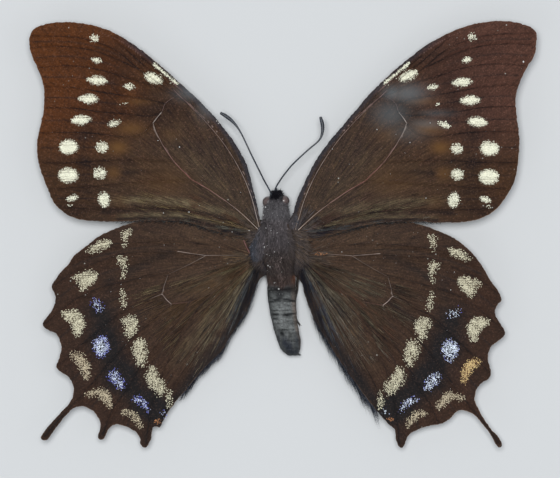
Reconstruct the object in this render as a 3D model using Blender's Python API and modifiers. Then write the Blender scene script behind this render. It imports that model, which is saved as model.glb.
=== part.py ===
"""A set swallowtail butterfly, papilio warscewiczi, lying belly down with its wings spread.

Lengths are in millimetres until the meshes are made. A place is written (out, ahead, up):
out from the plane x = 0 towards that side's wing tips, ahead towards the head, up from the floor.
The body itself leans a little to the left of that plane, as dried specimens do.
"""

import bpy
import bmesh
import numpy as np
from math import cos, pi, radians, sin
from mathutils import Matrix, Vector
from mathutils.geometry import delaunay_2d_cdt

MM = 0.001
GAP = 0.3               # clearance between a piece and what it grows from

# Wings
MEMBRANE = 0.5          # thickness between the veins
VEIN_CREST = 0.9        # thickness on a vein
VEIN_HALF = 0.45        # half the width of a vein's ridge
ROOT_CREST = 0.7        # extra thickness at the wing root
ROOT_FADE = 4.0         # distance over which that extra fades
FORE_ROOT_UP = 9.0      # height of the forewing's mid surface at its root
LAYER = 1.6             # hindwing's mid surface below the forewing's
RISE = 0.070            # climb of the wings towards their tips
DROOP = 0.0004          # how that climb eases
REAR_FALL = 0.035       # fall of the hindwing towards its tails
EDGE_STEP = 1.7         # spacing of points along the outline
VEIN_STEP = 2.6         # spacing of points along a vein
FILL_STEP = 4.5         # spacing of the points between the veins

# Body
BODY_OUT = 1.0          # the body's middle lies this far to the left
SIDES = 18              # points round the body
SQUARENESS = 2.2        # exponent of its rounded section
GROOVE_DEPTH = 0.16     # rings of the abdomen
GROOVE_REACH = 0.32
SHOULDER = 0.45         # swell over each forewing root

# Limbs
FOOT_UP = 0.20          # centre of the lowest toes, whose undersides are flat on the floor
FOOT_RADIUS = 0.32
SHAFT_RADIUS = 0.25     # antenna
CLUB_RADIUS = 0.42

# Stations of the body: ahead, centre x, half width, lowest, highest
THORAX = [
    (5.05, -1.25, 2.50, 4.2, 8.8), (4.2, -1.25, 2.90, 3.4, 9.8), (2.6, -1.20, 3.15, 2.6, 10.6),
    (0.6, -1.10, 3.35, 2.2, 11.0), (-1.6, -1.00, 3.80, 2.2, 11.1), (-3.6, -0.95, 3.75, 2.3, 10.8),
    (-5.6, -0.75, 3.40, 2.5, 10.2), (-7.6, -0.45, 3.10, 2.7, 9.4), (-9.5, -0.33, 2.92, 2.9, 8.7),
]
ABDOMEN = [
    (-9.8, -0.33, 2.93, 2.9, 8.7), (-12.0, -0.25, 2.92, 2.8, 8.5), (-15.0, 0.00, 2.75, 2.8, 8.2),
    (-17.5, 0.35, 2.58, 2.8, 7.9), (-19.5, 0.80, 2.48, 2.7, 7.5), (-21.2, 1.25, 2.36, 2.7, 7.1),
    (-22.4, 1.45, 2.10, 2.8, 6.7), (-23.3, 1.70, 1.65, 3.1, 6.2), (-24.0, 2.05, 0.85, 3.8, 5.5),
]
HEAD = [
    (5.35, -1.35, 2.15, 4.6, 8.6), (6.0, -1.40, 1.60, 4.6, 8.8), (7.0, -1.45, 1.35, 4.7, 8.9),
    (7.8, -1.45, 1.50, 5.0, 8.9), (8.4, -1.45, 1.45, 5.7, 8.7), (8.9, -1.45, 0.95, 6.6, 8.2),
]
GROOVES = (-10.9, -13.2, -16.0, -19.0, -21.2, -22.8)

# Outlines of the wings, (out, ahead), from the root along the front edge and round
LEFT_FORE = [
    (0.5, 1.2), (4.2, 1.8), (4.7, 3.6), (5.9, 9.0), (7.9, 15.4), (13.2, 23.1), (20.6, 30.4), (28.6, 37.2),
    (34.6, 40.8), (40.2, 42.3), (44.6, 42.5), (48.2, 41.9), (50.1, 40.7),
    (50.7, 38.6), (50.1, 35.8), (48.9, 33.0), (47.9, 30.0), (47.7, 27.4), (47.9, 24.4), (49.0, 19.4),
    (49.0, 15.4), (48.3, 12.6), (47.1, 9.4), (45.7, 6.4), (43.5, 4.3),
    (40.0, 3.0), (34.6, 2.7), (26.6, 2.9), (19.6, 2.6), (13.6, 0.8), (7.6, -0.8), (4.4, -1.2), (0.5, -1.0),
]
RIGHT_FORE = [
    (-1.5, 2.0), (1.8, 2.6), (2.2, 5.0), (3.7, 9.2), (7.0, 15.6), (12.7, 22.8), (19.4, 30.3), (27.9, 37.4),
    (34.3, 40.9), (40.0, 42.5), (44.8, 42.7), (48.8, 41.8), (50.5, 40.5),
    (50.6, 38.6), (50.2, 36.0), (48.8, 33.6), (47.6, 31.2), (46.6, 28.4), (46.5, 25.4), (46.9, 22.0),
    (47.2, 19.0), (47.0, 15.0), (46.3, 11.0), (44.9, 8.2), (43.4, 6.0),
    (41.0, 4.0), (37.6, 2.8), (32.2, 2.5), (24.2, 2.7), (17.2, 2.1), (11.0, 0.4), (5.0, -1.2), (-1.5, -1.0),
]
LEFT_HIND = [
    (0.5, -1.8), (4.6, -1.6), (9.6, 0.8), (15.6, 3.2), (22.6, 3.8), (28.6, 2.8),  # under the forewing
    (33.0, 1.5), (37.0, -0.4), (39.7, -2.5), (41.7, -4.1), (43.3, -6.2), (45.2, -8.4),  # shoulder
    (46.3, -10.3), (45.5, -12.4), (46.1, -14.8),  # first tooth
    (48.0, -17.4), (48.1, -18.0), (47.2, -19.0), (45.4, -19.8), (44.4, -22.4), (44.9, -25.0),
    (45.4, -26.4), (45.0, -27.1), (43.0, -28.4), (41.9, -30.8), (42.5, -33.2),  # third tooth
    (45.0, -36.1), (47.4, -38.8), (48.5, -40.4), (48.3, -41.0), (47.3, -41.0),                # tail
    (46.0, -39.3), (43.8, -36.5), (42.1, -34.8),
    (40.2, -34.3), (38.0, -35.4), (36.7, -37.3),
    (36.7, -39.0), (37.1, -40.4), (36.5, -41.0), (35.7, -40.4), (35.0, -39.0),  # short tail
    (33.8, -38.0), (31.8, -38.3), (29.6, -39.4),
    (28.7, -40.8), (28.6, -42.0), (27.6, -42.6), (26.7, -41.4), (26.3, -39.8),  # rear tooth
    (26.0, -38.5), (25.4, -38.4), (24.7, -38.6), (24.0, -37.2),  # rear lobe
    (22.4, -34.6), (19.5, -31.0), (16.2, -27.0), (12.4, -23.2), (10.0, -19.2), (7.2, -15.0),  # inner edge
    (5.6, -10.8), (4.4, -8.6), (0.5, -6.4),
]
RIGHT_HIND = [
    (-1.5, -1.6), (3.0, -1.4), (8.2, 1.2), (14.2, 3.2), (21.0, 3.4), (27.0, 2.2),
    (31.4, 0.7), (35.1, -1.2), (38.0, -3.8), (40.1, -6.6), (41.6, -9.2),
    (43.1, -11.2), (43.7, -13.0), (42.7, -14.2), (42.5, -16.0),
    (44.2, -18.8), (44.4, -19.9), (43.4, -21.0), (41.7, -22.3), (41.0, -24.4),
    (41.6, -27.2), (41.4, -28.5), (39.4, -30.0), (38.4, -32.4),
    (39.3, -35.1), (40.5, -37.2), (41.9, -39.1), (43.4, -40.9), (43.9, -42.1), (43.2, -42.6), (42.6, -41.8),
    (41.5, -39.8), (40.0, -37.9), (38.6, -36.3), (37.1, -35.4),
    (35.1, -35.2), (33.3, -37.0),
    (31.2, -38.0), (29.6, -38.2),  # short tail lost
    (27.4, -38.9), (25.4, -40.0),
    (24.7, -41.2), (24.2, -42.4), (23.4, -42.6), (22.7, -41.2),
    (22.4, -39.0), (21.3, -38.1),
    (18.4, -34.8), (15.4, -30.8), (12.2, -26.4), (8.9, -21.2), (6.3, -17.0), (4.6, -12.6),
    (3.2, -8.8), (-1.5, -6.4),
]

# Veins of the left wings. The right wings' veins are these, leaned and swung by the rows after them,
# each of which gives a place's new out or ahead from its old out, its old ahead and 1.
FORE_VEINS = [
    [(4.4, 0.8), (12.2, 6.6), (18.3, 11.1), (21.7, 14.6), (24.0, 17.9), (26.0, 22.4)],  # lower cell edge
    [(26.0, 22.4), (24.2, 24.6), (23.6, 26.2), (21.2, 27.8)],  # end of the cell
    [(4.4, 0.8), (6.4, 7.8), (8.6, 13.0), (11.8, 18.2), (15.6, 22.8), (19.0, 26.2), (21.2, 27.8)],
    [(15.6, 22.8), (19.0, 27.2), (23.6, 31.6), (28.4, 35.6)],
    [(19.0, 26.2), (23.6, 30.6), (28.6, 34.6), (34.0, 39.4)],
    [(21.2, 27.8), (24.6, 30.2), (28.6, 33.0), (33.6, 37.0), (37.6, 38.6), (41.6, 39.5), (48.6, 39.8)],
    [(28.6, 33.0), (34.6, 35.7), (38.6, 37.0), (44.6, 37.7), (48.8, 37.4)],
    [(21.2, 27.8), (26.6, 30.0), (32.6, 31.8), (36.6, 33.0), (42.6, 33.8), (47.8, 33.4)],
    [(23.6, 26.2), (26.6, 27.0), (31.6, 27.8), (36.6, 28.6), (41.6, 29.4), (46.4, 29.6)],
    [(24.2, 24.6), (26.6, 23.8), (31.6, 24.2), (36.6, 24.6), (41.6, 25.3), (46.6, 25.4)],
    [(26.0, 22.4), (28.0, 20.4), (31.6, 19.6), (36.6, 20.2), (41.6, 20.5), (47.4, 20.4)],
    [(21.7, 14.6), (26.6, 14.9), (30.6, 15.0), (36.6, 14.8), (42.6, 14.4), (47.4, 14.4)],
    [(18.3, 11.1), (26.6, 10.5), (34.6, 10.1), (38.6, 9.6), (45.6, 9.2)],
    [(4.4, 0.8), (13.6, 3.0), (20.6, 4.9), (28.6, 5.4), (36.6, 5.2), (43.0, 5.6)],
]
HIND_VEINS = [
    [(5.6, -4.4), (11.6, -2.2), (18.6, -1.5), (24.6, -1.2), (30.6, -1.5), (34.6, -1.9), (38.4, -2.8)],
    [(5.6, -4.4), (8.6, -4.3), (11.6, -4.1), (15.4, -4.1)],
    [(15.4, -4.1), (21.0, -3.4), (26.6, -3.4), (31.6, -3.6), (37.6, -5.6), (42.2, -7.6), (44.9, -9.8)],
    [(15.4, -4.1), (18.6, -5.8), (23.0, -7.9)],
    [(23.0, -7.9), (23.6, -9.6), (24.2, -11.8), (22.4, -13.8)],
    [(23.0, -7.9), (26.6, -8.2), (31.0, -9.2), (35.6, -10.2), (41.6, -12.9), (46.8, -17.3)],
    [(24.2, -11.8), (29.6, -14.0), (33.0, -15.8), (38.6, -20.4), (44.4, -25.8)],
    [(22.4, -13.8), (28.2, -18.8), (32.2, -22.6), (38.0, -29.4), (41.4, -33.3), (44.4, -36.4), (47.6, -40.2)],
    [(5.6, -4.4), (9.6, -8.4), (13.6, -11.2), (18.6, -13.2), (22.4, -13.8)],
    [(18.6, -13.2), (21.0, -17.0), (26.6, -23.4), (31.8, -31.4), (34.2, -35.0), (35.9, -38.2)],
    [(13.6, -11.2), (17.6, -15.4), (20.6, -20.2), (25.0, -29.8), (26.4, -35.0), (27.5, -41.0)],
    [(5.6, -4.4), (9.8, -12.6), (13.6, -18.2), (18.0, -24.4), (21.8, -30.2), (24.2, -36.4)],
]
RIGHT_FORE_SWING = ((1.00, 0.051, -2.40), (0.010, 1.017, -0.63))
RIGHT_HIND_SWING = ((0.975, 0.061, -0.95), (-0.062, 0.975, 0.78))

# Antennae: (x, ahead) from the head outwards
LEFT_FEELER = [
    (-2.0, 7.2), (-2.6, 8.8), (-3.7, 10.8), (-4.8, 13.0), (-6.1, 15.6), (-7.6, 18.8),
    (-8.4, 20.4), (-9.3, 21.8), (-10.4, 23.0), (-11.6, 23.9), (-12.5, 24.4),
]
RIGHT_FEELER = [
    (-1.4, 7.2), (-1.6, 9.0), (-0.4, 11.2), (0.8, 12.8), (2.0, 14.2), (5.0, 17.0),
    (7.0, 18.7), (7.6, 19.6), (7.9, 20.8), (7.9, 22.0), (7.5, 23.6),
]
FEELER_UP = (7.6, 10.4, 10.0)   # height inside the head, at the middle, at the tip
CLUB_FROM = 0.70                # share of the length where the club begins

# Legs: (out from the body's middle, ahead, up), hip, knee, ankle, toes
LEG_RADII = (0.70, 0.55, 0.42, 0.36, 0.33, FOOT_RADIUS)
FORELEG = [
    (1.2, 1.6, 3.4), (2.4, 2.4, 2.2), (6.8, 3.4, 3.8), (10.2, 6.4, 0.9), (11.0, 8.0, FOOT_UP),
    (11.6, 10.2, FOOT_UP),
]
MIDLEG = [
    (1.4, -1.0, 3.2), (2.8, -1.2, 1.9), (7.4, -0.8, 3.9), (11.0, -2.2, 0.9), (12.4, -2.8, FOOT_UP),
    (14.8, -3.4, FOOT_UP),
]
HINDLEG = [
    (1.3, -4.0, 3.3), (2.6, -4.6, 2.0), (5.8, -6.4, 4.0), (8.0, -10.8, 0.9), (8.4, -12.4, FOOT_UP),
    (9.0, -15.4, FOOT_UP),
]
FOLDED_HINDLEG = [
    (1.3, -4.0, 3.3), (2.4, -4.8, 2.0), (4.3, -6.8, 3.4), (3.9, -9.4, 2.4), (3.8, -11.4, 1.5),
    (3.3, -13.6, 0.9), (3.2, -15.4, FOOT_UP), (3.7, -17.0, FOOT_UP), (4.4, -18.2, FOOT_UP),
]
FOLDED_RADII = (0.70, 0.55, 0.42, 0.36, 0.34, 0.33, FOOT_RADIUS, FOOT_RADIUS, FOOT_RADIUS)

EYE_RADII = (1.15, 1.18, 1.45)
LEFT_EYE = (-2.85, 6.50, 6.6)
RIGHT_EYE = (0.00, 6.70, 6.6)

COIL_CENTRE = (8.0, 3.3)        # the coiled tongue, ahead and up
COIL_OUTER, COIL_INNER = 1.45, 0.38
COIL_TURNS = 1.6
COIL_RADIUS = 0.26
PALP = [(6.9, 5.4), (7.7, 4.5), (8.4, 4.7), (8.8, 5.5), (8.8, 6.2)]
PALP_RADII = (0.30, 0.38, 0.40, 0.36, 0.24)
PALP_OUT = 0.98


def clear_scene():
    for old in list(bpy.data.objects):
        bpy.data.objects.remove(old, do_unlink=True)


def new_collection(name):
    group = bpy.data.collections.new(name)
    bpy.context.scene.collection.children.link(group)
    return group


def finish(name, colour, roughness, metallic=0.0):
    """One Principled material."""
    made = bpy.data.materials.new(name)
    made.use_nodes = True
    shader = made.node_tree.nodes["Principled BSDF"]
    shader.inputs["Base Color"].default_value = (*colour, 1.0)
    shader.inputs["Roughness"].default_value = roughness
    shader.inputs["Metallic"].default_value = metallic
    return made


def add_mesh(name, points, faces, material=None, origin=(0.0, 0.0, 0.0)):
    """A mesh object from points in millimetres, with its own origin."""
    mesh = bpy.data.meshes.new(name)
    places = (np.asarray(points, float) - np.asarray(origin, float)) * MM
    mesh.from_pydata(places.tolist(), [], [list(f) for f in faces])
    made = bpy.data.objects.new(name, mesh)
    made.location = Vector(origin) * MM
    if material:
        mesh.materials.append(material)
        made.parent = holder
        solids.objects.link(made)
    else:
        made.hide_render = True
        made.display_type = "WIRE"
        cutters.objects.link(made)
    return made


def cut_clear(piece, cutter):
    """Trims a piece where it would enter its neighbour or the gap round it."""
    cut = piece.modifiers.new("clear of " + cutter.name, "BOOLEAN")
    cut.operation = "DIFFERENCE"
    cut.solver = "EXACT"
    cut.object = cutter


def smooth(points, step):
    """Points about one step apart on a curve through the given ones, whose slope at each
    follows the line between its neighbours."""
    given = np.array(points, float)
    slope = np.gradient(given, axis=0)
    slope /= np.linalg.norm(slope, axis=1)[:, None]
    found = [given[0]]
    for k in range(len(given) - 1):
        chord = np.linalg.norm(given[k + 1] - given[k])
        count = max(1, round(chord / step))
        for t in np.arange(1, count + 1) / count:
            found.append(
                (2 * t**3 - 3 * t**2 + 1) * given[k]
                + (t**3 - 2 * t**2 + t) * chord * slope[k]
                + (3 * t**2 - 2 * t**3) * given[k + 1]
                + (t**3 - t**2) * chord * slope[k + 1]
            )
    return np.array(found)


def distance_to_path(points, path):
    """Each point's distance to a line of straight pieces."""
    nearest = np.full(len(points), 1e9)
    for a, b in zip(path, path[1:]):
        along = np.clip(((points - a) @ (b - a)) / max((b - a) @ (b - a), 1e-12), 0, 1)
        nearest = np.minimum(nearest, np.linalg.norm(points - a - along[:, None] * (b - a), axis=1))
    return nearest


def inside(points, outline):
    """Which points lie in the outline, by counting its crossings to one side."""
    result = np.zeros(len(points), bool)
    for (ax, ay), (bx, by) in zip(outline, np.roll(outline, -1, axis=0)):
        spans = (ay > points[:, 1]) != (by > points[:, 1])
        if spans.any():
            crossing = ax + (points[:, 1] - ay) * (bx - ax) / (by - ay)
            result ^= spans & (points[:, 0] < crossing)
    return result


def swung(points, rows):
    """Left-wing places carried to the right wing."""
    return np.column_stack([points, np.ones(len(points))]) @ np.array(rows).T


def wing_height(out, ahead, root_out, hind):
    """Mid surface: a gentle climb from the root that eases outwards, the hindwing one layer lower."""
    reach = np.maximum(out - root_out, 0.0)
    up = FORE_ROOT_UP + RISE * reach - DROOP * reach**2
    if hind:
        up = up - LAYER - REAR_FALL * np.maximum(-ahead - 8.0, 0.0)
    return up


def add_wing(name, side, outline, veins, root, hind, material):
    """A thin shell over the outline, thicker on its veins and at its root."""
    edge = smooth(outline + outline[:1], EDGE_STEP)[:-1]
    if np.sum(edge[:, 0] * np.roll(edge[:, 1], -1) - np.roll(edge[:, 0], -1) * edge[:, 1]) < 0:
        edge = edge[::-1]
    paths = [smooth(vein, VEIN_STEP) for vein in veins]

    flanks = []
    for k, path in enumerate(paths):
        along = np.gradient(path, axis=0)
        across = np.column_stack([-along[:, 1], along[:, 0]]) / np.linalg.norm(along, axis=1)[:, None]
        both = np.vstack([path[:-1] + VEIN_HALF * across[:-1], path[:-1] - VEIN_HALF * across[:-1]])
        for other in paths[:k] + paths[k + 1:]:
            both = both[distance_to_path(both, other) > 0.9 * VEIN_HALF]
        flanks.append(both)
    low, high = edge.min(axis=0), edge.max(axis=0)
    fill = np.array([
        (x + (row % 2) * FILL_STEP / 2, y)
        for row, y in enumerate(np.arange(low[1], high[1], FILL_STEP))
        for x in np.arange(low[0], high[0], FILL_STEP)
    ])
    for path in paths:
        fill = fill[distance_to_path(fill, path) > 0.45 * FILL_STEP]
    loose = np.vstack(flanks + [fill])
    loose = loose[inside(loose, edge)]
    loose = loose[distance_to_path(loose, np.vstack([edge, edge[:1]])) > 0.9 * VEIN_HALF]
    kept = []
    for spot in loose:
        if not kept or np.min(np.linalg.norm(np.array(kept) - spot, axis=1)) > 0.6 * VEIN_HALF:
            kept.append(spot)

    spots = [Vector(p) for p in edge]
    ridges = []
    for path in paths:
        first = len(spots)
        spots += [Vector(p) for p in path]
        ridges += [(first + k, first + k + 1) for k in range(len(path) - 1)]
    spots += [Vector(p) for p in kept]
    flat, _, faces, *_ = delaunay_2d_cdt(spots, ridges, [list(range(len(edge)))], 1, 0.02)
    plan = np.array([tuple(p) for p in flat])

    nearest = np.min([distance_to_path(plan, path) for path in paths], axis=0)
    costa = smooth(outline[1:13], EDGE_STEP)
    nearest = np.minimum(nearest, distance_to_path(plan, costa)) if not hind else nearest
    crest = np.clip(1.0 - nearest / VEIN_HALF, 0.0, 1.0)
    from_root = np.linalg.norm(plan - np.array(root), axis=1)
    thick = MEMBRANE + (VEIN_CREST - MEMBRANE) * crest + ROOT_CREST * np.exp(-((from_root / ROOT_FADE) ** 2))

    up = wing_height(plan[:, 0], plan[:, 1], root[0], hind)
    places = np.column_stack([side * plan[:, 0], plan[:, 1], up])
    if side < 0:
        faces = [f[::-1] for f in faces]
    root_up = float(wing_height(root[0], root[1], root[0], hind))
    made = add_mesh(name, places, faces, material, (side * root[0], root[1], root_up))
    group = made.vertex_groups.new(name="thickness")
    most = float(thick.max())
    for index, value in enumerate(thick):
        group.add([index], float(value) / most, "REPLACE")
    shell = made.modifiers.new("shell", "SOLIDIFY")
    shell.thickness = most * MM
    shell.offset = 0.0
    shell.vertex_group = group.name
    shell.thickness_vertex_group = 0.0
    return made


def shoulder_swell(ahead, turn):
    """A soft swell over each wing root, highest half way up the side."""
    lengthwise = np.exp(-(((ahead - 0.4) / 2.6) ** 2))
    left = np.exp(-(((turn - radians(128)) / radians(22)) ** 2))
    right = np.exp(-(((turn - radians(52)) / radians(22)) ** 2))
    return SHOULDER * lengthwise * (left + right)


def add_body(name, stations, ring_step, material=None, grooves=(), grow=0.0, shoulders=False):
    """A loft of rounded rings along the body, closed by flat ends. grow swells it all round."""
    table = smooth(stations, 0.1)[::-1] if stations[0][0] > stations[-1][0] else smooth(stations, 0.1)
    low, high = table[0, 0], table[-1, 0]
    rings = list(np.linspace(low, high, 1 + round((high - low) / ring_step)))
    for groove in grooves:
        rings = [y for y in rings if abs(y - groove) > 1.3 * GROOVE_REACH]
        rings += [groove - GROOVE_REACH, groove, groove + GROOVE_REACH]
    rings = np.array(sorted(rings))
    centre, half, lowest, highest = (np.interp(rings, table[:, 0], table[:, k]) for k in range(1, 5))
    for groove in grooves:
        half = half - GROOVE_DEPTH * np.clip(1 - np.abs(rings - groove) / GROOVE_REACH, 0, 1)
    turns = np.arange(SIDES) * 2 * pi / SIDES
    bend = 2 / SQUARENESS
    wide = np.sign(np.cos(turns)) * np.abs(np.cos(turns)) ** bend
    tall = np.sign(np.sin(turns)) * np.abs(np.sin(turns)) ** bend
    rings[0] -= grow
    rings[-1] += grow
    points = []
    for y, cx, hw, lo, hi in zip(rings, centre, half, lowest, highest):
        swell = grow + (shoulder_swell(y, turns) if shoulders else 0.0)
        squeeze = hw - np.interp(y, table[:, 0], table[:, 2])
        x = cx + (hw + swell) * wide
        z = (lo + hi) / 2 + ((hi - lo) / 2 + squeeze + swell) * tall
        points += list(zip(x, np.full(SIDES, y), z))
    faces = []
    for k in range(len(rings) - 1):
        for j in range(SIDES):
            a, b = k * SIDES + j, k * SIDES + (j + 1) % SIDES
            faces.append((a + SIDES, b + SIDES, b, a))
    faces.append(tuple(range(SIDES)))
    last = (len(rings) - 1) * SIDES
    faces.append(tuple(reversed(range(last, last + SIDES))))
    middle = (float(centre.mean()), float(rings.mean()), float((lowest + highest).mean() / 2))
    made = add_mesh(name, points, faces, material, middle)
    shape = bmesh.new()
    shape.from_mesh(made.data)
    bmesh.ops.recalc_face_normals(shape, faces=shape.faces)
    shape.to_mesh(made.data)
    shape.free()
    return made


def add_tube(name, path, radii, material, floor=None):
    """A round tube along a path, as a closed mesh. floor flattens what would reach below it."""
    curve = bpy.data.curves.new(name, "CURVE")
    curve.dimensions = "3D"
    curve.bevel_depth = MM
    curve.bevel_resolution = 2
    curve.use_fill_caps = True
    line = curve.splines.new("POLY")
    line.points.add(len(path) - 1)
    for point, place, radius in zip(line.points, path, radii):
        point.co = (*(Vector(place) * MM), 1.0)
        point.radius = radius
    guide = bpy.data.objects.new(name + " line", curve)
    cutters.objects.link(guide)
    seen = guide.evaluated_get(bpy.context.evaluated_depsgraph_get())
    mesh = bpy.data.meshes.new_from_object(seen)
    bpy.data.objects.remove(guide)
    mesh.name = name
    shape = bmesh.new()
    shape.from_mesh(mesh)
    bmesh.ops.remove_doubles(shape, verts=shape.verts, dist=0.00001)
    if floor is not None:
        for corner in shape.verts:
            corner.co.z = max(corner.co.z, floor * MM)
    start = Vector(path[0]) * MM
    bmesh.ops.translate(shape, verts=shape.verts, vec=-start)
    bmesh.ops.recalc_face_normals(shape, faces=shape.faces)
    shape.to_mesh(mesh)
    shape.free()
    mesh.materials.clear()
    mesh.materials.append(material)
    made = bpy.data.objects.new(name, mesh)
    made.location = start
    made.parent = holder
    solids.objects.link(made)
    return made


def add_leg(name, side, stations, radii, material):
    """A leg from its hip inside the thorax to toes flat on the floor."""
    joints = [(side * out - BODY_OUT, ahead, up, radius) for (out, ahead, up), radius in zip(stations, radii)]
    path = smooth(joints, 1.5)
    path[:, 2] = np.maximum(path[:, 2], FOOT_UP)
    leg = add_tube(name, [tuple(p[:3]) for p in path], path[:, 3], material, floor=0.0)
    cut_clear(leg, thorax_clear)


def add_feeler(name, plan, material):
    """An antenna: a thin shaft rising from the head and a club at its end."""
    flat = smooth(plan, 1.1)
    run = np.concatenate([[0], np.cumsum(np.linalg.norm(np.diff(flat, axis=0), axis=1))])
    share = run / run[-1]
    up = np.interp(share, (0, 0.5, 1), FEELER_UP)
    club = np.clip((share - CLUB_FROM) / (0.92 - CLUB_FROM), 0, 1)
    radius = SHAFT_RADIUS + (CLUB_RADIUS - SHAFT_RADIUS) * club**1.5
    radius[-1] = 0.22
    feeler = add_tube(name, [(x, y, z) for (x, y), z in zip(flat, up)], radius, material)
    cut_clear(feeler, head_clear)


def add_eye(name, centre, material):
    """A domed eye against the side of the head."""
    bpy.ops.mesh.primitive_uv_sphere_add(segments=18, ring_count=10, radius=MM)
    eye = bpy.context.object
    eye.name = name
    eye.data.name = name
    eye.data.transform(Matrix.Diagonal((*EYE_RADII, 1.0)))
    eye.location = Vector(centre) * MM
    eye.data.materials.append(material)
    for group in list(eye.users_collection):
        group.objects.unlink(eye)
    solids.objects.link(eye)
    eye.parent = holder
    cut_clear(eye, head_clear)


def add_tongue(material):
    """The coiled tongue, a flat spiral under the head."""
    count = round(COIL_TURNS * 14)
    turns = radians(70) - np.linspace(0, COIL_TURNS * 2 * pi, count)
    reach = np.linspace(COIL_OUTER, COIL_INNER, count)
    middle = HEAD[0][1]
    path = [(middle, 7.8, 5.9)]
    path += [(middle, COIL_CENTRE[0] + r * cos(a), COIL_CENTRE[1] + r * sin(a)) for a, r in zip(turns, reach)]
    tongue = add_tube("proboscis", path, [COIL_RADIUS] * len(path), material)
    cut_clear(tongue, head_clear)


def add_palp(name, side, material):
    """One of the two hairy palps beside the tongue."""
    joints = [(HEAD[0][1] + side * PALP_OUT, y, z, r) for (y, z), r in zip(PALP, PALP_RADII)]
    path = smooth(joints, 0.5)
    palp = add_tube(name, [tuple(p[:3]) for p in path], path[:, 3], material)
    cut_clear(palp, head_clear)


clear_scene()
solids = new_collection("butterfly")
cutters = new_collection("cutters")
holder = bpy.data.objects.new("butterfly_frame", None)
solids.objects.link(holder)

fur = finish("grey brown fur", (0.12, 0.11, 0.10), 0.9)
abdomen_scales = finish("grey green scales", (0.21, 0.22, 0.19), 0.75)
black_hair = finish("black hair", (0.02, 0.02, 0.022), 0.85)
eye_brown = finish("brown eye", (0.10, 0.06, 0.05), 0.25)
horn = finish("dark horn", (0.025, 0.025, 0.03), 0.5)
leg_horn = finish("dark leg horn", (0.04, 0.032, 0.028), 0.6)
fore_scales = finish("dark brown forewing scales", (0.050, 0.030, 0.018), 0.7)
hind_scales = finish("dark brown hindwing scales", (0.040, 0.026, 0.016), 0.7)

head_clear = add_body("head clearance", HEAD, 0.7, grow=GAP)
thorax_clear = add_body("thorax clearance", THORAX, 0.9, grow=GAP, shoulders=True)

add_body("head", HEAD, 0.7, black_hair)
add_body("thorax", THORAX, 0.9, fur, shoulders=True)
add_body("abdomen", ABDOMEN, 1.1, abdomen_scales, grooves=GROOVES)
add_eye("eye_left", LEFT_EYE, eye_brown)
add_eye("eye_right", RIGHT_EYE, eye_brown)
add_feeler("antenna_left", LEFT_FEELER, horn)
add_feeler("antenna_right", RIGHT_FEELER, horn)
add_tongue(horn)

for side_name, side in (("left", -1), ("right", 1)):
    add_palp("palp_" + side_name, side, black_hair)
    add_leg("foreleg_" + side_name, side, FORELEG, LEG_RADII, leg_horn)
    add_leg("midleg_" + side_name, side, MIDLEG, LEG_RADII, leg_horn)
add_leg("hindleg_left", -1, HINDLEG, LEG_RADII, leg_horn)
add_leg("hindleg_right", 1, FOLDED_HINDLEG, FOLDED_RADII, leg_horn)

right_fore_veins = [swung(vein, RIGHT_FORE_SWING) for vein in FORE_VEINS]
right_hind_veins = [swung(vein, RIGHT_HIND_SWING) for vein in HIND_VEINS]
wings = [
    add_wing("forewing_left", -1, LEFT_FORE, FORE_VEINS, (4.2, 0.4), False, fore_scales),
    add_wing("forewing_right", 1, RIGHT_FORE, right_fore_veins, (2.6, 0.4), False, fore_scales),
    add_wing("hindwing_left", -1, LEFT_HIND, HIND_VEINS, (4.6, -4.4), True, hind_scales),
    add_wing("hindwing_right", 1, RIGHT_HIND, right_hind_veins, (3.0, -4.4), True, hind_scales),
]
for wing in wings:
    cut_clear(wing, thorax_clear)
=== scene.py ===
import bpy
import numpy as np
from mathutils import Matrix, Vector
from mathutils.geometry import delaunay_2d_cdt


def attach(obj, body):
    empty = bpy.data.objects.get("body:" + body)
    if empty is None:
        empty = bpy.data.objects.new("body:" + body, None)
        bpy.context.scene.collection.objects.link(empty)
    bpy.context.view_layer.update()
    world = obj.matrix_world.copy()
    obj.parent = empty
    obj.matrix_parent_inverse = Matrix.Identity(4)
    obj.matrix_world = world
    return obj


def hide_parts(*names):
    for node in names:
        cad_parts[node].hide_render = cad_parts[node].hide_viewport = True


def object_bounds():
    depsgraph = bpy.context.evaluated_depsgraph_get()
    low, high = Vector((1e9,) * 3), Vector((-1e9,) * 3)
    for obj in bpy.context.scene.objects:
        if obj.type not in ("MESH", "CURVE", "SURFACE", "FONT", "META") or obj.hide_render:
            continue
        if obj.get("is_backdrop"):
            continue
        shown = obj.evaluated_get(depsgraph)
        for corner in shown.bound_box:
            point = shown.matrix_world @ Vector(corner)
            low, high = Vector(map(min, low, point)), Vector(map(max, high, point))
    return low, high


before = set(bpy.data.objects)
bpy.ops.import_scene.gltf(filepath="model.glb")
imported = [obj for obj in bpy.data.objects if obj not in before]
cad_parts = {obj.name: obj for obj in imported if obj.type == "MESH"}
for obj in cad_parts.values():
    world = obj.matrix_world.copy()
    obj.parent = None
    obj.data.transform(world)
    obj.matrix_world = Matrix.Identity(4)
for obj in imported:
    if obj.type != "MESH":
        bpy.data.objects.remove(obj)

cadBox = [list(corner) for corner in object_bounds()]
mm = 0.001          # every shape below is worked out in millimetres, in the part's own frame
bodyOut = 1.0       # the body's middle lies this far to the left of x = 0


# The camera looks straight down at the wings, as the photograph does. Its lens is the sensor's width times
# the distance over the width of what it frames.
view = {"centre": (-0.6, -0.8), "wingLevel": 10.2, "distance": 900.0, "frameWidth": 112.0, "sensor": 36.0}


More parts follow.
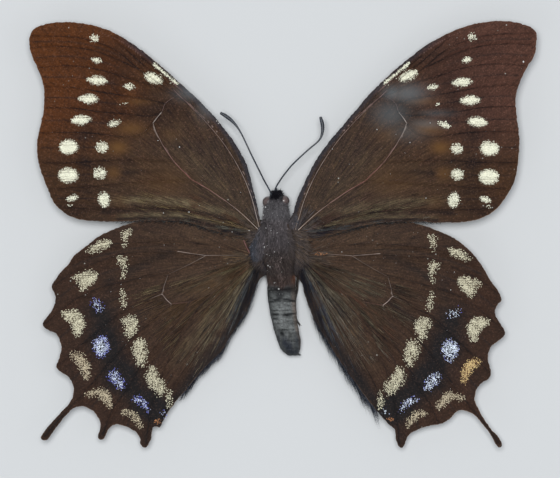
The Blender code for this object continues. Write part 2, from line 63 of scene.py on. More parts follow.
def placeCamera():
    made = bpy.data.cameras.new("camera")
    made.sensor_width = view["sensor"]
    made.lens = view["sensor"] * view["distance"] / view["frameWidth"]
    made.clip_start, made.clip_end = 0.02, 20
    camera = bpy.data.objects.new("camera", made)
    bpy.context.scene.collection.objects.link(camera)
    x, y = view["centre"]
    camera.location = (x * mm, y * mm, (view["wingLevel"] + view["distance"]) * mm)
    bpy.context.scene.camera = camera


placeCamera()
print("camera placed")


# Shader maths. A wire is one output of a material's nodes: a sum or product of wires adds Math nodes.
class Wire:
    def __init__(self, sheet, socket):
        self.sheet, self.socket = sheet, socket

    def joined(self, operation, first, second, clamp=False):
        return self.sheet.node("Math", {"operation": operation, "use_clamp": clamp}, {0: first, 1: second})

    def __add__(self, other):
        return self.joined("ADD", self, other)

    def __sub__(self, other):
        return self.joined("SUBTRACT", self, other)

    def __rsub__(self, other):
        return self.joined("SUBTRACT", other, self)

    def __mul__(self, other):
        return self.joined("MULTIPLY", self, other)

    __radd__, __rmul__ = __add__, __mul__

    # 0 where the wire is below low, 1 above high, and straight between
    def between(self, low, high):
        return self.sheet.node("MapRange", {"clamp": True}, {0: self, 1: low, 2: high})

    def clamped(self):
        return self.joined("ADD", self, 0.0, True)


class Sheet:
    def __init__(self, name, roughness, **sockets):
        self.material = bpy.data.materials.new(name)
        self.material.use_nodes = True
        self.tree = self.material.node_tree
        self.shader = self.tree.nodes["Principled BSDF"]
        self.shader.inputs["Roughness"].default_value = roughness
        for label, value in sockets.items():
            self.shader.inputs[label.replace("_", " ")].default_value = value

    # A node of any kind: its settings first, then the values or wires of its sockets, then the output wanted
    def node(self, kind, settings=None, sockets=None, output=0):
        made = self.tree.nodes.new("ShaderNode" + kind)
        for label, value in (settings or {}).items():
            setattr(made, label, value)
        for label, value in (sockets or {}).items():
            if isinstance(value, Wire):
                self.tree.links.new(value.socket, made.inputs[label])
            else:
                made.inputs[label].default_value = value
        return Wire(self, made.outputs[output])

    def field(self, name, output="Fac"):
        return self.node("Attribute", {"attribute_name": name}, {}, output)

    def place(self):
        return self.node("TexCoord", {}, {}, "Object")

    def noise(self, vector, scale, detail=3.0, rough=0.55):
        sockets = {"Vector": vector, "Scale": scale, "Detail": detail, "Roughness": rough}
        return self.node("TexNoise", {}, sockets)

    # Round cells: output Color holds each cell's own random value, Distance how far its middle is
    def cells(self, vector, scale, output="Distance"):
        return self.node("TexVoronoi", {}, {"Vector": vector, "Scale": scale}, output)

    # One channel of the cells' random values: 0 is red, 1 green and 2 blue
    def cellTone(self, vector, scale, channel=0):
        return self.node("SeparateColor", {}, {0: self.cells(vector, scale, "Color")}, channel)

    def mixed(self, amount, first, second, blend="MIX"):
        settings = {"data_type": "RGBA", "blend_type": blend}
        return self.node("Mix", settings, {0: amount, 6: first, 7: second}, 2)

    def vector(self, x, y, z):
        return self.node("CombineXYZ", {}, {0: x, 1: y, 2: z})

    # The colour times a level
    def toned(self, colour, level):
        return self.mixed(1.0, colour, self.vector(level, level, level), "MULTIPLY")

    # The material with this colour, and with a roughness and a bump where they are given
    def wearing(self, colour, roughness=None, height=None, relief=0.00002, strength=1.0):
        if isinstance(colour, Wire):
            self.tree.links.new(colour.socket, self.shader.inputs["Base Color"])
        else:
            self.shader.inputs["Base Color"].default_value = colour
        if roughness is not None:
            self.tree.links.new(roughness.socket, self.shader.inputs["Roughness"])
        if height is not None:
            bump = self.node("Bump", {}, {"Strength": strength, "Distance": relief, "Height": height})
            self.tree.links.new(bump.socket, self.shader.inputs["Normal"])
        return self.material


chartLight = 0.84   # the lamps are stronger than the chart's light by one over this

# A colour from the 0 to 255 values that a paint chart gives, made linear
def paint(red, green, blue):
    chart = np.array([red, green, blue]) / 255
    linear = np.where(chart <= 0.04045, chart / 12.92, ((chart + 0.055) / 1.055) ** 2.4)
    return (*(linear * chartLight).tolist(), 1.0)


# A mesh object from points in millimetres and arrays of faces. The faces are turned round if the
# volume that they close is negative, so they end up facing outwards.
def addPiece(name, points, faces, finish, replaces=(), fields=None, colours=None,
             bakeUv=None, sharp=None):
    corners = np.asarray(points, float) * mm
    triangles = np.vstack([np.column_stack([f[:, 0], f[:, k], f[:, k + 1]]) for f in faces
                           for k in range(1, f.shape[1] - 1)])
    a, b, c = (corners[triangles[:, k]] - corners.mean(axis=0) for k in range(3))
    if np.einsum("ij,ij->", a, np.cross(b, c)) < 0:
        faces = [f[:, ::-1] for f in faces]
        if bakeUv is not None:
            bakeUv = [uv[:, ::-1] for uv in bakeUv]
    mesh = bpy.data.meshes.new(name)
    sizes = np.concatenate([np.full(len(f), f.shape[1]) for f in faces])
    mesh.vertices.add(len(corners))
    mesh.vertices.foreach_set("co", corners.astype(np.float32).ravel())
    mesh.loops.add(int(sizes.sum()))
    mesh.loops.foreach_set("vertex_index", np.concatenate([f.ravel() for f in faces]).astype(np.int32))
    mesh.polygons.add(len(sizes))
    mesh.polygons.foreach_set("loop_start", (np.cumsum(sizes) - sizes).astype(np.int32))
    mesh.update(calc_edges=True)
    for label, values in (fields or {}).items():
        made = mesh.attributes.new(label, "FLOAT", "POINT")
        made.data.foreach_set("value", np.asarray(values, np.float32))
    if colours is not None:
        made = mesh.attributes.new("tint", "FLOAT_COLOR", "POINT")
        full = np.column_stack([colours, np.ones(len(colours))])
        made.data.foreach_set("color", full.astype(np.float32).ravel())
    if bakeUv is not None:
        layer = mesh.uv_layers.new(name="OFBake")
        flat = np.concatenate([uv.reshape(-1, 2) for uv in bakeUv])
        layer.data.foreach_set("uv", flat.astype(np.float32).ravel())
    mesh.shade_smooth()
    if sharp is not None:
        mesh.set_sharp_from_angle(angle=np.radians(sharp))
    mesh.materials.append(finish)
    piece = bpy.data.objects.new(name, mesh)
    bpy.context.scene.collection.objects.link(piece)
    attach(piece, "root")
    if replaces:
        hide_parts(*replaces)
    return piece


# Quads of a grid of rows by columns, whose columns close on themselves
def ringFaces(rows, columns):
    i, j = np.meshgrid(np.arange(rows - 1), np.arange(columns), indexing="ij")
    a, b = i * columns + j, i * columns + (j + 1) % columns
    return np.stack([a, a + columns, b + columns, b], axis=-1).reshape(-1, 4)


# The same rings closed by a pole at each end: the poles are the last two points
def closedRings(rows, columns):
    j = np.arange(columns)
    first, last = rows * columns, rows * columns + 1
    far = (rows - 1) * columns
    startCap = np.column_stack([np.full(columns, first), j, (j + 1) % columns])
    endCap = np.column_stack([np.full(columns, last), far + (j + 1) % columns, far + j])
    return [ringFaces(rows, columns), startCap, endCap]


# A ball of radius one: rings of points from pole to pole, then the poles. The order says which axis is which.
def ball(rings, sides, order=(0, 1, 2)):
    tilt = np.linspace(-np.pi / 2, np.pi / 2, rings + 2)[1:-1]
    t, a = np.meshgrid(tilt, np.arange(sides) * 2 * np.pi / sides, indexing="ij")
    rows = np.stack([np.cos(t) * np.cos(a), np.cos(t) * np.sin(a), np.sin(t)], axis=-1).reshape(-1, 3)
    return np.vstack([rows, [(0, 0, -1), (0, 0, 1)]])[:, order], closedRings(rings, sides)


# Rows of points or vectors, each divided by its length
def unit(rows):
    return rows / (np.linalg.norm(rows, axis=-1, keepdims=True) + 1e-12)


# How far along a path each of its points lies, in millimetres
def runAlong(path):
    return np.concatenate([[0], np.cumsum(np.linalg.norm(np.diff(path, axis=0), axis=1))])


# Points about one step apart on a smooth curve through the given ones: a cubic between each pair,
# whose slope at a point is that of the line between its neighbours
def smooth(points, step):
    given = np.array(points, float)
    slope = np.gradient(given, axis=0)
    slope /= np.linalg.norm(slope, axis=1)[:, None]
    runs = [given[:1]]
    for k in range(len(given) - 1):
        chord = np.linalg.norm(given[k + 1] - given[k])
        t = (np.arange(max(1, round(chord / step))) + 1)[:, None] / max(1, round(chord / step))
        runs.append((2 * t**3 - 3 * t**2 + 1) * given[k] + (t**3 - 2 * t**2 + t) * chord * slope[k]
                    + (3 * t**2 - 2 * t**3) * given[k + 1] + (t**3 - t**2) * chord * slope[k + 1])
    return np.vstack(runs)


# A closed curve through the points, smooth also where it starts
def smoothRing(points, step):
    given = [tuple(p) for p in points]
    whole = smooth(given[-2:] + given + given[:2], step)
    near = np.linalg.norm(whole - np.array(given[0]), axis=1)
    half = len(near) // 2
    return whole[int(np.argmin(near[:half])): half + int(np.argmin(near[half:]))]


# Each point's distance to a line of straight pieces, and how far along it (0 to 1) the nearest place is
def nearPath(points, path):
    nearest, share = np.full(len(points), 1e9), np.zeros(len(points))
    run = runAlong(path)
    for k, (a, b) in enumerate(zip(path[:-1], path[1:])):
        along = np.clip(((points - a) @ (b - a)) / max((b - a) @ (b - a), 1e-12), 0, 1)
        gap = np.hypot(points[:, 0] - a[0] - along * (b - a)[0], points[:, 1] - a[1] - along * (b - a)[1])
        closer = gap < nearest
        nearest = np.where(closer, gap, nearest)
        share = np.where(closer, (run[k] + along * (run[k + 1] - run[k])) / run[-1], share)
    return nearest, share


# Which points lie inside a ring, by counting the crossings to one side
def insideRing(points, ring):
    result = np.zeros(len(points), bool)
    for (ax, ay), (bx, by) in zip(ring, np.roll(ring, -1, axis=0)):
        spans = (ay > points[:, 1]) != (by > points[:, 1])
        result ^= spans & (points[:, 0] < ax + (points[:, 1] - ay) * (bx - ax) / (by - ay + 1e-30))
    return result


# Signed distance to a ring, positive inside, worked out only near it and -9 elsewhere
def depthInside(points, ring, margin=1.5):
    low, high = ring.min(axis=0) - margin, ring.max(axis=0) + margin
    close = np.all((points > low) & (points < high), axis=1)
    depth = np.full(len(points), -9.0)
    if close.any():
        gap, _ = nearPath(points[close], np.vstack([ring, ring[:1]]))
        depth[close] = np.where(insideRing(points[close], ring), gap, -gap)
    return depth


# Soft random hills from -1 to 1: random values on a square lattice, blended with a smooth step
def hills(x, y, cell, seed):
    lattice = np.random.default_rng(seed).uniform(-1, 1, (97, 97))
    u, v = np.asarray(x) / cell + 1000, np.asarray(y) / cell + 1000
    i, j = np.floor(u).astype(int), np.floor(v).astype(int)
    s, t = u - i, v - j
    s, t = s * s * (3 - 2 * s), t * t * (3 - 2 * t)
    corner = lambda di, dj: lattice[(i + di) % 97, (j + dj) % 97]
    near = corner(0, 0) * (1 - s) + corner(1, 0) * s
    far = corner(0, 1) * (1 - s) + corner(1, 1) * s
    return near * (1 - t) + far * t


# A smooth step: 0 below low, 1 above high
def ramp(value, low, high):
    t = np.clip((value - low) / (high - low), 0, 1)
    return t * t * (3 - 2 * t)


# A bell curve: 1 at nought, e to the minus one at the width
def bell(value, width):
    return np.exp(-((value / width) ** 2))


# Points in rows half a step apart from each other's, from the low corner to the high one
def staggered(low, high, step):
    x, y = np.meshgrid(np.arange(low[0], high[0], step), np.arange(low[1], high[1], step * 0.866))
    x = x + (np.arange(len(x)) % 2)[:, None] * step / 2
    return np.column_stack([x.ravel(), y.ravel()])


# The greatest signed depth inside any of the rings, and how thickly that ring's scales lie
def depthInRings(points, rings, margin=1.5):
    depth, thick = np.full(len(points), -9.0), np.zeros(len(points))
    for ring, density in rings:
        here = depthInside(points, ring, margin)
        thick = np.where(here > depth, density, thick)
        depth = np.maximum(depth, here)
    return depth, thick


# Wings. A place on a wing is (out, ahead): out towards that side's tips, ahead towards the head.
wingShape = {"rootUp": 9.0, "layer": 1.6, "tuck": 1.0, "rise": 0.070, "droop": 0.0004, "rearFall": 0.035,
             "thickness": 0.13, "grid": 0.28, "edgeStep": 0.25, "ridge": 0.13, "pleat": 0.16}

leftForeEdge = [
    (0.5, 1.2), (4.2, 1.8), (4.7, 3.6), (5.9, 9.0), (7.9, 15.4), (13.2, 23.1), (20.6, 30.4), (28.6, 37.2),
    (34.6, 40.8), (40.2, 42.3), (44.6, 42.5), (48.2, 41.9), (50.1, 40.7), (50.7, 38.6), (50.1, 35.8),
    (48.9, 33.0), (47.9, 30.0), (47.7, 27.4), (47.9, 24.4), (49.0, 19.4), (49.0, 15.4), (48.3, 12.6),
    (47.1, 9.4), (45.7, 6.4), (43.5, 4.3), (40.0, 3.0), (34.6, 2.7), (26.6, 2.9), (19.6, 2.6), (13.6, 0.8),
    (7.6, -0.8), (4.4, -1.2), (0.5, -1.0),
]
rightForeEdge = [
    (-1.5, 2.0), (1.8, 2.6), (2.2, 5.0), (3.7, 9.2), (7.0, 15.6), (12.7, 22.8), (19.4, 30.3), (27.9, 37.4),
    (34.3, 40.9), (40.0, 42.5), (44.8, 42.7), (48.8, 41.8), (50.5, 40.5), (50.6, 38.6), (50.2, 36.0),
    (48.8, 33.6), (47.6, 31.2), (46.6, 28.4), (46.5, 25.4), (46.9, 22.0), (47.2, 19.0), (47.0, 15.0),
    (46.3, 11.0), (44.9, 8.2), (43.4, 6.0), (41.0, 4.0), (37.6, 2.8), (32.2, 2.5), (24.2, 2.7), (17.2, 2.1),
    (11.0, 0.4), (5.0, -1.2), (-1.5, -1.0),
]
leftHindEdge = [
    (0.5, -1.8), (4.6, -1.6), (9.6, 0.8), (15.6, 3.2), (22.6, 3.8), (28.6, 2.8), (33.0, 1.5), (37.0, -0.4),
    (39.7, -2.5), (41.7, -4.1), (43.3, -6.2), (45.2, -8.4), (46.3, -10.3), (45.5, -12.4), (46.1, -14.8),
    (48.0, -17.4), (48.1, -18.0), (47.2, -19.0), (45.4, -19.8), (44.4, -22.4), (44.9, -25.0), (45.4, -26.4),
    (45.0, -27.1), (43.0, -28.4), (41.9, -30.8), (42.5, -33.2), (45.0, -36.1), (47.4, -38.8), (48.5, -40.4),
    (48.3, -41.0), (47.3, -41.0), (46.0, -39.3), (43.8, -36.5), (42.1, -34.8), (40.2, -34.3), (38.0, -35.4),
    (36.7, -37.3), (36.7, -39.0), (37.1, -40.4), (36.5, -41.0), (35.7, -40.4), (35.0, -39.0), (33.8, -38.0),
    (31.8, -38.3), (29.6, -39.4), (28.7, -40.8), (28.6, -42.0), (27.6, -42.6), (26.7, -41.4), (26.3, -39.8),
    (26.0, -38.5), (25.4, -38.4), (24.7, -38.6), (24.0, -37.2), (22.4, -34.6), (19.5, -31.0), (16.2, -27.0),
    (12.4, -23.2), (10.0, -19.2), (7.2, -15.0), (5.6, -10.8), (4.4, -8.6), (0.5, -6.4),
]
rightHindEdge = [
    (-1.5, -1.6), (3.0, -1.4), (8.2, 1.2), (14.2, 3.2), (21.0, 3.4), (27.0, 2.2), (31.4, 0.7), (35.1, -1.2),
    (38.0, -3.8), (40.1, -6.6), (41.6, -9.2), (43.1, -11.2), (43.7, -13.0), (42.7, -14.2), (42.5, -16.0),
    (44.2, -18.8), (44.4, -19.9), (43.4, -21.0), (41.7, -22.3), (41.0, -24.4), (41.6, -27.2), (41.4, -28.5),
    (39.4, -30.0), (38.4, -32.4), (39.3, -35.1), (40.5, -37.2), (41.9, -39.1), (43.4, -40.9), (43.9, -42.1),
    (43.2, -42.6), (42.6, -41.8), (41.5, -39.8), (40.0, -37.9), (38.6, -36.3), (37.1, -35.4), (35.1, -35.2),
    (33.3, -37.0), (31.2, -38.0), (29.6, -38.2), (27.4, -38.9), (25.4, -40.0), (24.7, -41.2), (24.2, -42.4),
    (23.4, -42.6), (22.7, -41.2), (22.4, -39.0), (21.3, -38.1), (18.4, -34.8), (15.4, -30.8), (12.2, -26.4),
    (8.9, -21.2), (6.3, -17.0), (4.6, -12.6), (3.2, -8.8), (-1.5, -6.4),
]

# Veins of the left wings, each from the root outwards
foreVeins = [
    [(4.4, 0.6), (8.4, 4.4), (11.6, 6.9), (15.0, 9.2), (18.3, 11.1), (21.7, 14.6), (24.0, 17.9),
     (26.0, 22.4)],
    [(26.0, 22.4), (24.2, 24.6), (23.6, 26.2), (21.2, 27.8)],
    [(4.4, 0.8), (6.4, 7.8), (8.6, 13.0), (11.8, 18.2), (15.6, 22.8), (19.0, 26.2), (21.2, 27.8)],
    [(15.6, 22.8), (19.0, 27.2), (23.6, 31.6), (28.4, 35.6)],
    [(19.0, 26.2), (23.6, 30.6), (28.6, 34.6), (34.0, 39.4)],
    [(21.2, 27.8), (24.6, 30.2), (28.6, 33.0), (33.6, 37.0), (37.6, 38.6), (41.6, 39.5), (50.2, 39.8)],
    [(28.6, 33.0), (34.6, 35.7), (38.6, 37.0), (44.6, 37.7), (50.3, 37.4)],
    [(21.2, 27.8), (26.6, 30.0), (32.6, 31.8), (36.6, 33.0), (42.6, 33.8), (49.0, 33.4)],
    [(23.6, 26.2), (26.6, 27.0), (31.6, 27.8), (36.6, 28.6), (41.6, 29.4), (47.6, 29.6)],
    [(24.2, 24.6), (26.6, 23.8), (31.6, 24.2), (36.6, 24.6), (41.6, 25.3), (47.7, 25.4)],
    [(26.0, 22.4), (28.0, 20.4), (31.6, 19.6), (36.6, 20.2), (41.6, 20.5), (48.5, 20.4)],
    [(21.7, 14.6), (26.6, 14.9), (30.6, 15.0), (36.6, 14.8), (42.6, 14.4), (48.5, 14.4)],
    [(18.3, 11.1), (26.6, 10.5), (34.6, 10.1), (38.6, 9.6), (46.8, 9.2)],
    [(4.4, 0.8), (13.6, 3.0), (20.6, 4.9), (28.6, 5.4), (36.6, 5.2), (44.0, 5.4)],
]
hindVeins = [
    [(5.6, -4.4), (11.6, -2.2), (18.6, -1.5), (24.6, -1.2), (30.6, -1.5), (34.6, -1.9), (39.2, -2.8)],
    [(5.6, -4.4), (8.6, -4.3), (11.6, -4.1), (15.4, -4.1)],
    [(15.4, -4.1), (21.0, -3.4), (26.6, -3.4), (31.6, -3.6), (37.6, -5.6), (42.2, -7.6), (45.5, -9.9)],
    [(15.4, -4.1), (18.6, -5.8), (23.0, -7.9)],
    [(23.0, -7.9), (23.6, -9.6), (24.2, -11.8), (22.4, -13.8)],
    [(23.0, -7.9), (26.6, -8.2), (31.0, -9.2), (35.6, -10.2), (41.6, -12.9), (47.4, -17.6)],
    [(24.2, -11.8), (29.6, -14.0), (33.0, -15.8), (38.6, -20.4), (44.9, -26.1)],
    [(22.4, -13.8), (28.2, -18.8), (32.2, -22.6), (38.0, -29.4), (41.4, -33.3), (44.4, -36.4), (48.0, -40.6)],
    [(5.6, -4.4), (9.6, -8.4), (13.6, -11.2), (18.6, -13.2), (22.4, -13.8)],
    [(18.6, -13.2), (21.0, -17.0), (26.6, -23.4), (31.8, -31.4), (34.2, -35.0), (36.2, -40.2)],
    [(13.6, -11.2), (17.6, -15.4), (20.6, -20.2), (25.0, -29.8), (26.4, -35.0), (27.6, -42.0)],
    [(5.6, -4.4), (9.8, -12.6), (13.6, -18.2), (18.0, -24.4), (21.8, -30.2), (24.6, -37.8)],
]
# The right wings' veins are the same, leaned and swung: each row gives a new out or ahead from the old two
# and 1
rightForeSwing = ((1.00, 0.051, -2.40), (0.010, 1.017, -0.63))
rightHindSwing = ((0.975, 0.061, -0.95), (-0.062, 0.975, 0.78))

# Stretches of vein that have lost their scales: points, half width, how bare at each end, how pink (one
# value, or one for each end)
foreBare = [
    ([(4.4, 0.6), (8.4, 4.4), (10.0, 5.7), (11.6, 6.9)], 0.075, 0.95, 0.62, (0.0, 0.7)),
    ([(11.6, 6.9), (15.0, 9.2), (18.3, 11.1)], 0.09, 0.70, 0.85, (0.7, 1.0)),
    ([(18.3, 11.1), (21.7, 14.6), (24.0, 17.9)], 0.09, 0.85, 0.70, (1.0, 0.7)),
    ([(24.0, 17.9), (25.4, 20.6), (26.0, 22.4)], 0.07, 0.60, 0.60, (0.6, 0.1)),
    ([(26.0, 22.4), (25.0, 23.7), (24.2, 24.6)], 0.08, 0.85, 0.65, 0.10),
    ([(24.2, 24.6), (23.6, 26.2), (22.4, 27.2), (21.2, 27.8)], 0.06, 0.55, 0.35, 0.70),
    ([(4.6, 0.8), (6.4, 7.8), (8.6, 13.0), (11.8, 18.2), (15.6, 22.8), (19.0, 26.2)],
     0.07, 0.85, 0.45, (0.1, 0.6)),
    ([(5.0, 4.0), (6.6, 9.4), (9.2, 14.7), (14.2, 21.8), (20.4, 27.6), (21.8, 29.0)],
     0.07, 0.45, 0.75, (0.4, 0.9)),
    ([(20.0, 28.6), (26.0, 34.0), (32.0, 38.4), (36.5, 40.5)], 0.08, 0.62, 0.35, 0.95),
]
hindBare = [
    ([(8.6, -4.3), (11.6, -4.1), (15.4, -4.1)], 0.07, 0.25, 0.60, 0.25),
    ([(15.4, -4.1), (18.0, -3.7), (21.0, -3.3)], 0.06, 0.50, 0.80, 0.30),
    ([(15.4, -4.1), (18.6, -5.8), (23.0, -7.9)], 0.06, 0.45, 0.30, 0.25),
    ([(23.0, -7.9), (23.7, -9.8), (24.2, -11.8)], 0.06, 0.30, 0.55, 0.20),
    ([(24.2, -11.8), (23.4, -12.9), (22.4, -13.8)], 0.07, 0.65, 0.95, 0.35),
    ([(22.4, -13.8), (22.8, -15.2), (26.0, -16.6)], 0.07, 0.55, 0.15, 0.30),
    ([(24.2, -11.8), (27.6, -13.2)], 0.06, 0.45, 0.12, 0.20),
    ([(20.0, -15.0), (23.6, -20.0)], 0.06, 0.35, 0.20, 0.40),
    ([(24.2, -20.4), (25.6, -23.0)], 0.06, 0.35, 0.10, 0.40),
    ([(22.2, -13.8), (19.5, -13.5), (16.6, -12.9), (13.6, -11.2)], 0.06, 0.50, 0.22, 0.90),
]

# Forewing spots: out, ahead, half length, half width, tilt in degrees, point (2 is round, less is pointed),
# how thickly the cream scales lie
foreSpots = [
    (37.6, 39.2, 1.15, 1.05, 0, 2.0, 0.50), (37.2, 34.9, 1.25, 0.75, 10, 1.5, 0.85),
    (37.1, 30.9, 2.25, 1.10, 4, 1.5, 0.95), (38.8, 27.2, 2.20, 1.10, 0, 1.6, 1.00),
    (40.3, 23.0, 2.15, 1.15, -6, 1.7, 1.00), (42.8, 17.6, 2.00, 1.60, -8, 2.1, 1.00),
    (42.9, 11.9, 2.10, 1.65, 0, 2.0, 1.00), (30.7, 29.6, 1.50, 0.85, 8, 1.6, 0.62),
    (31.8, 26.2, 1.00, 0.60, 0, 1.7, 0.35), (33.7, 22.3, 1.65, 0.85, -22, 1.6, 0.72),
    (36.1, 17.5, 1.50, 1.40, 0, 1.9, 0.66), (36.5, 12.3, 1.55, 1.50, 0, 1.9, 0.66),
    (35.7, 7.1, 1.40, 1.85, -8, 1.9, 0.74), (25.9, 31.3, 2.15, 1.10, 24, 1.8, 1.00),
    (42.0, 7.4, 1.45, 0.85, -20, 1.7, 0.75), (42.6, 5.9, 0.75, 0.45, -20, 2.0, 0.60),
]
rightForeSpots = [
    (37.8, 39.4), (36.7, 34.9), (35.8, 30.5), (37.4, 26.9), (38.8, 22.6), (41.2, 17.3), (41.1, 11.6),
    (29.9, 29.5), (30.6, 26.0), (32.2, 22.0), (34.7, 17.3), (34.8, 12.1), (34.1, 7.0), (25.1, 31.8),
    (40.4, 7.1), (41.0, 5.6),
]
# The pale streak at the front edge, split by a vein
foreStreaks = [[(26.0, 34.30), (24.2, 33.05), (22.4, 31.55), (20.9, 30.00), (22.6, 31.05), (24.4, 32.55)],
               [(25.5, 33.35), (24.2, 32.20), (22.9, 31.00), (21.5, 29.75), (23.0, 30.70), (24.4, 31.90)]]
# Ochre clouds beside the inner spots: out, ahead, half length, half width, strength
foreClouds = [(33.0, 17.5, 1.9, 1.3, 0.85), (30.4, 21.3, 2.8, 1.2, 0.65), (33.9, 12.4, 1.5, 1.3, 0.55),
              (32.6, 6.8, 1.8, 1.4, 0.20), (29.0, 26.6, 2.6, 0.6, 0.40), (22.4, 20.0, 2.2, 1.4, 0.25),
              (23.5, 11.0, 5.5, 4.0, 0.30)]
# Broad darker places: out, ahead, half length, half width, strength
foreShades = [(22.5, 25.2, 5.5, 3.4, 0.30), (30.0, 31.6, 6.0, 2.0, 0.26), (31.0, 24.6, 3.4, 1.5, 0.22),
              (39.5, 14.6, 8.0, 1.1, 0.38), (39.0, 19.8, 4.4, 1.0, 0.32), (42.0, 4.8, 5.5, 2.4, 0.46),
              (12.0, 12.0, 5.0, 4.0, 0.10), (39.5, 9.0, 6.0, 1.0, 0.28), (34.6, 27.0, 2.6, 7.0, 0.42),
              (36.0, 36.6, 8.0, 3.6, 0.24), (25.5, 23.6, 3.6, 4.6, 0.30), (42.5, 24.0, 4.0, 9.0, 0.14),
              (39.6, 13.8, 1.6, 8.0, 0.30), (38.8, 25.0, 2.4, 5.0, 0.28), (28.5, 35.4, 4.0, 1.6, 0.30)]
hindShades = [(36.2, -21.6, 3.4, 2.6, 0.72), (33.0, -28.4, 3.6, 2.8, 0.88), (27.0, -34.4, 3.6, 2.6, 0.90),
              (37.0, -14.6, 2.8, 2.0, 0.55), (34.6, -9.6, 1.4, 2.4, 0.35), (26.9, -41.0, 2.0, 2.4, 0.45),
              (46.0, -38.6, 3.0, 3.0, 0.40), (36.4, -39.6, 1.6, 2.2, 0.40), (24.4, -36.6, 1.6, 1.6, 0.55),
              (42.6, -29.8, 2.0, 4.0, 0.18)]
# Painted sheen, a bluish haze where the light catches the forewing's scales: out, ahead, half length,
# half width, strength
forePaintedSheen = {
    "left": [(18.8, 28.4, 3.0, 1.6, 0.36), (15.6, 25.2, 2.0, 2.4, 0.24)],
    "right": [(24.9, 28.3, 3.8, 2.0, 0.50), (21.6, 24.2, 3.6, 2.8, 0.34), (30.4, 24.3, 3.6, 0.8, 0.22),
              (28.6, 22.2, 3.6, 1.1, 0.30), (22.0, 28.4, 2.2, 1.6, 0.50), (25.2, 20.8, 4.0, 2.0, 0.22)],
}

# Hindwing spots as rings of points on the left wing: the inner band, the crescents at the margin, the blue
# patches between them and the orange one at the inner corner
hindSpots = {
    "band": [
        [(32.0, 0.8), (30.0, 0.9), (30.7, -0.5), (31.4, -2.6), (32.0, -2.7), (32.2, -0.7)],
        [(33.4, -4.8), (32.5, -4.0), (31.2, -4.4), (30.9, -6.3), (31.6, -8.7), (32.4, -8.7), (32.5, -6.6)],
        [(32.7, -11.1), (31.9, -10.5), (31.3, -12.3), (31.4, -14.7), (32.4, -14.5), (32.6, -12.6)],
        [(32.4, -16.9), (30.7, -15.8), (29.1, -16.6), (28.8, -18.6), (30.0, -20.7), (31.4, -20.6),
         (31.8, -18.6)],
        [(30.4, -22.5), (29.4, -20.8), (27.9, -20.6), (27.1, -22.5), (26.8, -24.5), (28.4, -26.5),
         (29.8, -24.5)],
        [(27.8, -27.9), (26.1, -25.8), (24.8, -27.9), (23.3, -30.2), (24.7, -32.3), (26.8, -30.2)],
        [(23.4, -31.5), (22.4, -30.6), (22.0, -33.8), (23.1, -34.7), (23.3, -32.8)],
    ],
    "crescents": [
        [(39.3, -3.4), (38.3, -2.2), (36.7, -1.2), (34.4, -1.1), (34.6, -2.4), (36.7, -3.4), (38.3, -3.7)],
        [(42.3, -8.4), (40.0, -7.2), (38.1, -6.9), (36.9, -8.0), (38.0, -9.9), (40.3, -11.3), (41.1, -9.6)],
        [(44.4, -15.6), (42.6, -14.9), (40.9, -15.1), (39.6, -16.9), (39.7, -18.6), (41.3, -20.4),
         (42.4, -18.2)],
        [(42.6, -24.0), (41.1, -23.4), (39.5, -24.4), (38.5, -26.5), (39.2, -28.9), (40.4, -27.2),
         (41.4, -25.5)],
        [(39.4, -31.9), (37.7, -30.9), (36.0, -30.7), (34.7, -31.8), (34.2, -34.5), (35.8, -33.3),
         (37.2, -32.3)],
        [(32.1, -35.5), (30.7, -35.0), (29.1, -36.0), (28.3, -38.4), (29.7, -37.3), (30.8, -36.2)],
    ],
    "blues": [
        [(38.3, -12.7), (36.0, -13.4), (35.3, -14.9), (37.0, -15.6), (38.3, -14.0)],
        [(38.1, -21.2), (36.3, -19.9), (35.1, -20.5), (34.5, -22.5), (36.3, -24.7), (38.1, -22.9)],
        [(35.2, -28.0), (33.7, -26.7), (32.4, -27.9), (31.4, -29.9), (32.4, -31.0), (34.1, -29.6)],
        [(30.4, -32.6), (28.9, -32.0), (27.2, -33.4), (26.6, -35.6), (27.7, -35.1), (29.1, -33.8)],
        [(24.8, -35.6), (23.8, -35.1), (23.3, -36.2), (24.3, -37.0)],
    ],
    "corner": [[(25.8, -36.9), (24.7, -36.8), (24.4, -37.6), (25.5, -37.9)]],
}
# Where the right hindwing's spots have their middles
rightHindCentres = {
    "band": [(29.8, -1.6), (30.0, -7.2), (29.4, -13.4), (27.8, -18.7), (25.6, -23.5), (22.4, -29.2),
             (19.5, -33.1)],
    "crescents": [(35.3, -4.0), (37.2, -10.1), (38.8, -18.5), (37.3, -26.9), (33.2, -32.9), (26.4, -36.6)],
    "blues": [(34.2, -15.6), (33.4, -23.0), (30.0, -29.2), (25.0, -33.8), (20.4, -35.5)],
    "corner": [(21.4, -36.9)],
}
# How thickly the scales lie: in the band's spots, pale crescents, tan ones, the right wing's orange one, the
# orange corner and root dash, each blue patch, and the pale streaks of the forewing
spotDensity = {
    "band": (0.48, 0.48, 0.48, 0.52, 0.52, 0.52, 0.52), "crescent": 0.68, "tan": 0.62, "orange": 0.82,
    "corner": 0.50, "dash": 1.2, "blues": (0.22, 0.48, 0.48, 0.44, 0.20), "streaks": (2.6, 0.5),
}
# The orange dash at the right hindwing's root, an oval
rootDash = (7.5, -3.7, 1.20, 0.24, 4, 2.0)

